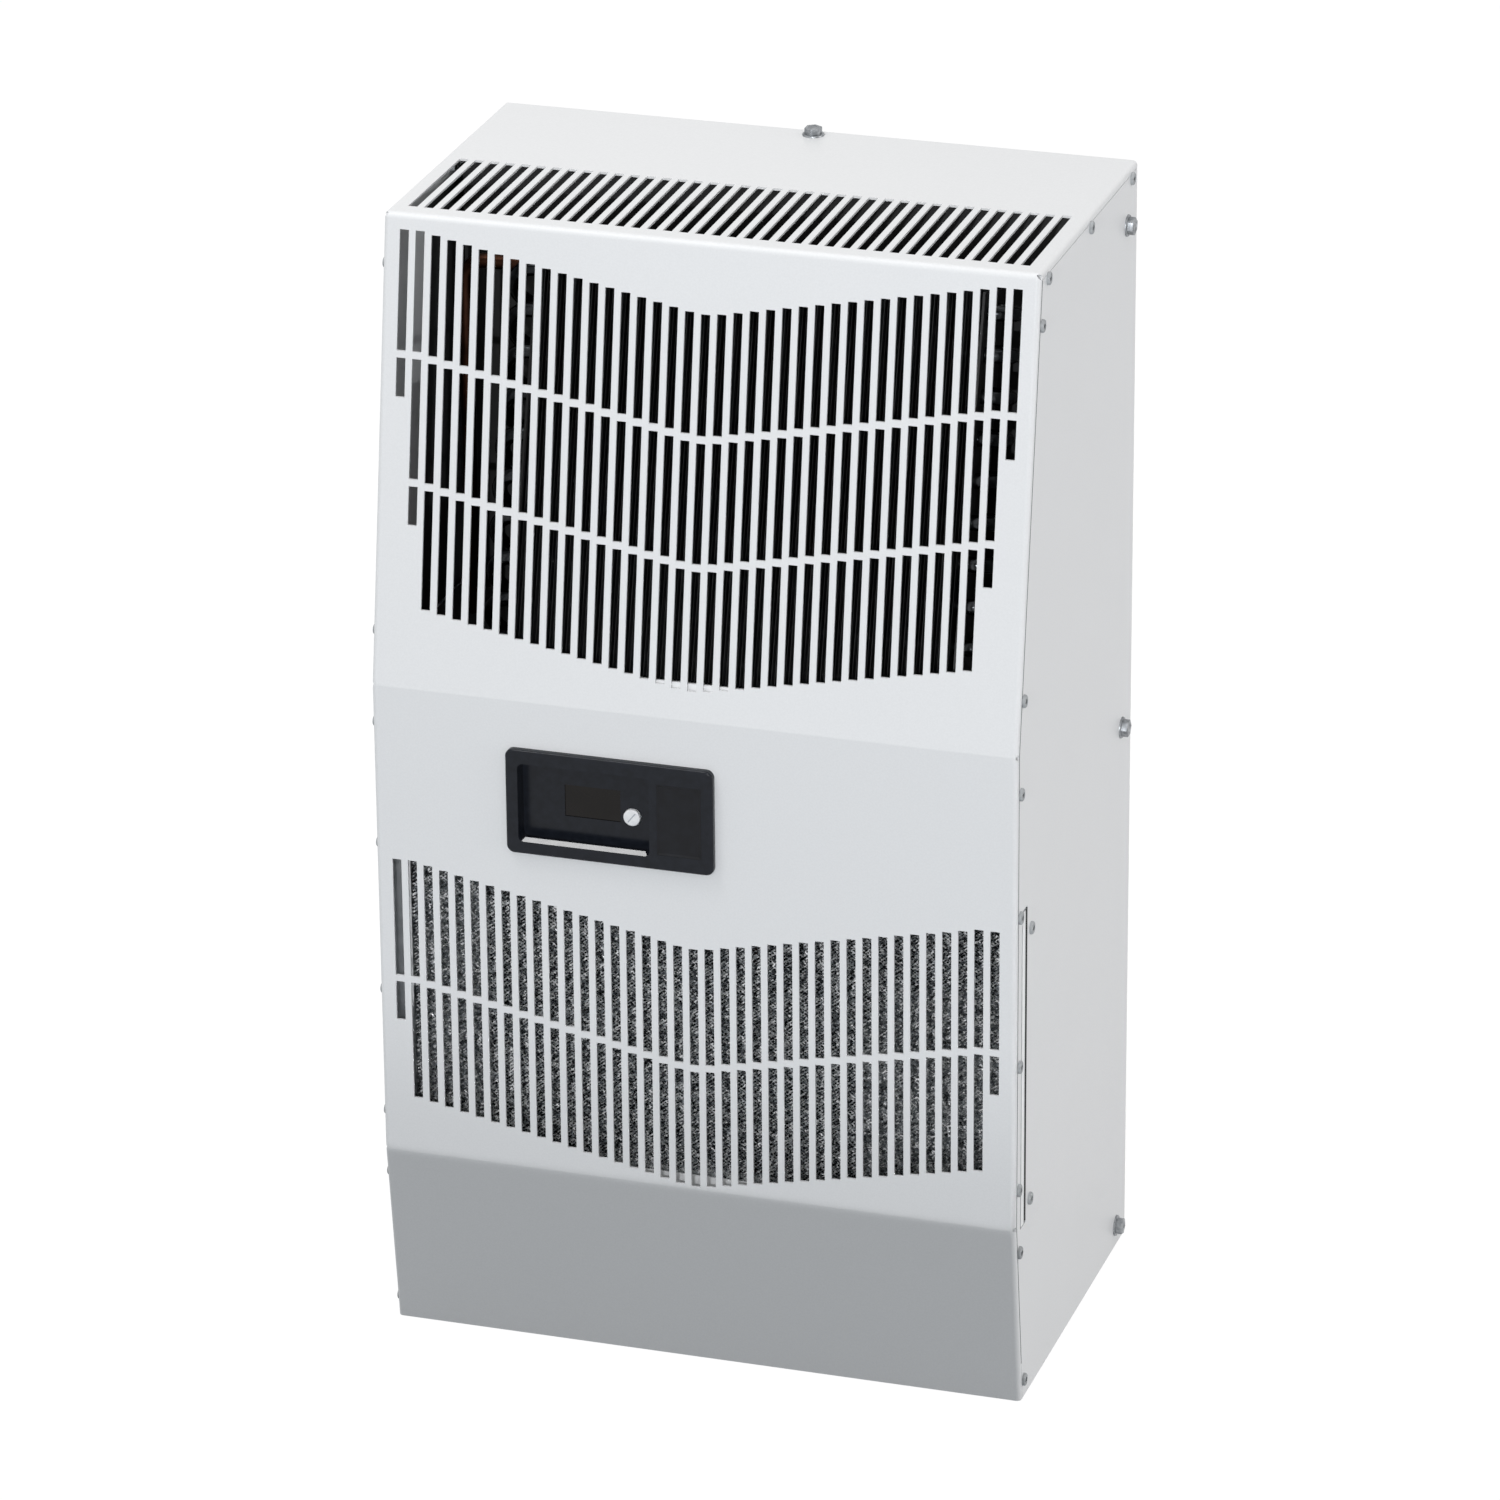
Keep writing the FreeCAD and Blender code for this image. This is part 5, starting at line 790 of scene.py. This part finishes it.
# %% [markdown]
# ## Badge tray
# Beside the recess is a shallow tray for a badge, left plain here. A flat box is inset on its front
# and the inner face pushed in, so that a narrow slope runs round the floor and its lower side
# catches the light.

# %% Badge tray
TRAY_RIM, TRAY_SLOPE, TRAY_DEPTH, TRAY_PLAY = 0.5 * MM, 0.9 * MM, 0.7 * MM, 0.1 * MM
low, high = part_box("badge_plate")
bezel_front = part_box("control_bezel")[0][1]
tray = add_shape("cube", "badge_tray", size=1,
                 location=((low[0] + high[0]) / 2, (bezel_front + high[1]) / 2,
                           (low[2] + high[2]) / 2),
                 scale=(high[0] - low[0] - TRAY_PLAY, high[1] - bezel_front,
                        high[2] - low[2] - TRAY_PLAY))
edit(tray)
pick("FACE", lambda face: face.normal.y < -0.9)
bpy.ops.mesh.inset(thickness=TRAY_RIM)
bpy.ops.mesh.inset(thickness=TRAY_SLOPE, depth=-TRAY_DEPTH)
leave()
tidy_normals(tray, 20)
hand_over(tray, "casing", finishes["dark_label_film"], "badge_plate")

# %% [markdown]
# ## Push button
# The button is a soft round cap with a rounded rim and a slanting groove as its only mark. Grey paint
# lies in the groove: a small bar with rounded ends.

# %% Push button
GROOVE_LENGTH, GROOVE_WIDTH, GROOVE_DEPTH, PAINT_DEPTH = 8 * MM, 0.8 * MM, 0.5 * MM, 0.4 * MM
GROOVE_TURN = Matrix.Rotation(math.radians(52), 4, "Z")
GROOVE_ROUND, PAINT_WIDTH = 0.3, 0.96  # as shares of the bar's and the groove's width
BUTTON_ROUND = 0.9 * MM


def groove_bar(name, width, depth):
    """A bar along the groove, sunk by a depth below the button's top, with rounded ends."""
    bar = add_shape("cube", name, size=1, scale=(GROOVE_LENGTH, width, depth),
                    location=(0, 0, BUTTON_LENGTH / 2 - GROOVE_DEPTH + depth / 2))
    edit(bar)
    pick("EDGE", lambda edge: abs(edge.verts[0].co.z - edge.verts[1].co.z) > depth / 2)
    bpy.ops.mesh.bevel(offset=GROOVE_ROUND * width, segments=2)
    leave()
    bar.data.transform(GROOVE_TURN)
    return bar


low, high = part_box("unit_button")
BUTTON_RADIUS, BUTTON_LENGTH = (high[0] - low[0]) / 2, high[1] - low[1]
button = add_shape("cylinder", "button_cap", vertices=48, radius=BUTTON_RADIUS, depth=BUTTON_LENGTH)
edit(button)
pick("EDGE", lambda edge: all(v.co.z > 0.45 * BUTTON_LENGTH for v in edge.verts))
bpy.ops.mesh.bevel(offset=BUTTON_ROUND, segments=4, profile=0.5)
leave()
groove = groove_bar("groove_tool", GROOVE_WIDTH, 2 * GROOVE_DEPTH)
apply_modifier(button, "BOOLEAN", operation="DIFFERENCE", solver="EXACT", object=groove)
drop(groove)
mark = groove_bar("button_mark", PAINT_WIDTH * GROOVE_WIDTH, PAINT_DEPTH)
for piece in (button, mark):
    piece.data.transform(Matrix.Translation([(a + b) / 2 for a, b in zip(low, high)])
                         @ Matrix.Rotation(math.pi / 2, 4, "X"))
    tidy_normals(piece)
hand_over(mark, "unit_button", finishes["grey_button_print"])
hand_over(button, "unit_button", finishes["white_silicone"], "unit_button")

# %% [markdown]
# ## Floor
# The picture is a catalogue shot, white all round. The floor is a large sheet that looks white to the
# camera and in reflections and only keeps a trace of the unit's shadow. The light that it sends back
# up is that of a cool grey sheet, so the lower panel stays dim.

# %% Floor
FLOOR_SIZE = 30  # metres
FLOOR_GLOW = 1.05  # a little over white, because the shadow's share dims it
FLOOR_BOUNCE = "7A848C"
SHADOW_SHARE = 0.1


def looked_at(tree):
    """1 for rays from the camera, through glass or off a glossy surface, 0 for all other light."""
    rays = add_node(tree, "ShaderNodeLightPath", {})
    clear = add_node(tree, "ShaderNodeMath", {"operation": "MAXIMUM"},
                     {0: rays.outputs["Is Camera Ray"], 1: rays.outputs["Is Transmission Ray"]})
    any_look = add_node(tree, "ShaderNodeMath", {"operation": "MAXIMUM"},
                        {0: clear.outputs[0], 1: rays.outputs["Is Glossy Ray"]})
    return any_look.outputs[0]


bpy.ops.object.select_all(action="DESELECT")
bpy.ops.mesh.primitive_plane_add(size=FLOOR_SIZE, location=(0, 0, 0))
floor = bpy.context.object
floor.name = "studio_floor"
bpy.ops.object.mode_set(mode="EDIT")
bpy.ops.mesh.subdivide(number_cuts=2)
bpy.ops.object.mode_set(mode="OBJECT")

paper, tree, shader, place = start_material("white_paper_sweep", {"Roughness": 0.9})
shader.inputs["Base Color"].default_value = linear(FLOOR_BOUNCE)
white = add_node(tree, "ShaderNodeEmission", {"Color": linear("FFFFFF"), "Strength": FLOOR_GLOW})
pale = add_node(tree, "ShaderNodeBsdfDiffuse", {"Color": linear("FFFFFF")})
sweep = add_node(tree, "ShaderNodeMixShader", {"Fac": SHADOW_SHARE},
                 {1: white.outputs[0], 2: pale.outputs[0]})
switch = add_node(tree, "ShaderNodeMixShader", {},
                  {0: looked_at(tree), 1: shader.outputs[0], 2: sweep.outputs[0]})
tree.links.new(switch.outputs[0], tree.nodes["Material Output"].inputs["Surface"])
floor.data.materials.append(paper)
print(floor.name)

# %% [markdown]
# ## Backdrop
# The surroundings give an even light from all sides. Seen directly or in a reflection they are plain
# white, as a paper backdrop would be.

# %% Backdrop
AMBIENT = 0.63

world = bpy.data.worlds.new("white_studio")
bpy.context.scene.world = world
world.use_nodes = True
tree = world.node_tree
tree.nodes.clear()
level = add_node(tree, "ShaderNodeMapRange", {"To Min": AMBIENT, "To Max": 1.0},
                 {"Value": looked_at(tree)})
sky = add_node(tree, "ShaderNodeBackground", {"Color": linear("FFFFFF")},
               {"Strength": level.outputs["Result"]})
add_node(tree, "ShaderNodeOutputWorld", {}, {"Surface": sky.outputs[0]})
print(world.name)

# %% [markdown]
# ## Lamps
# A soft box above lights the top and a slightly warm one the right side. In front is a cool lamp
# whose hood stands square to the line from the lamp to the lower fold, so that its light ends there
# in a straight edge; a weaker twin fades out above it. A narrow bright box high up at the left is
# what the sill of the recess and the bezel's edges reflect. Powers are in watts.


# %% Lamps
def add_lamp(name, kind, place, aim, power, tint, **settings):
    """A lamp of some kind, aimed at a point."""
    light = bpy.data.lights.new(name, kind)
    light.energy = power
    light.color = linear(tint)[:3]
    for key, setting in settings.items():
        setattr(light, key, setting)
    holder = bpy.data.objects.new(name, light)
    bpy.context.collection.objects.link(holder)
    holder.location = place
    holder.rotation_euler = (Vector(aim) - Vector(place)).to_track_quat("-Z", "Y").to_euler()


MIDDLE = Vector((0, 0, 0.4))
BEZEL = Vector((-0.07, -0.14, 0.37))
LAMP = Vector((0.45, -3.2, 1.3))
HOOD_EDGE = Vector((0, -0.133, 0.1235))
down = HOOD_EDGE - LAMP
hood_axis = Vector((0, -down.z, down.y))

add_lamp("overhead_box", "AREA", (-0.3, 0.5, 2.7), MIDDLE, 6, "FFFFFF", size=1.3)
add_lamp("glint_box", "AREA", (-0.79, -0.75, 2.55), BEZEL, 12, "FFFFFF", shape="RECTANGLE",
         size=0.28, size_y=1.0)
add_lamp("right_fill", "AREA", (3.2, -0.1, 0.6), MIDDLE, 33, "FFFBF9", size=1.6)
for name, power, edge in (("front_lamp", 116, 0.0015), ("front_lamp_soft", 62, 0.04)):
    add_lamp(name, "SPOT", LAMP, LAMP + hood_axis, power, "FAFCFF", spot_size=math.pi,
             spot_blend=edge, shadow_soft_size=0.003)
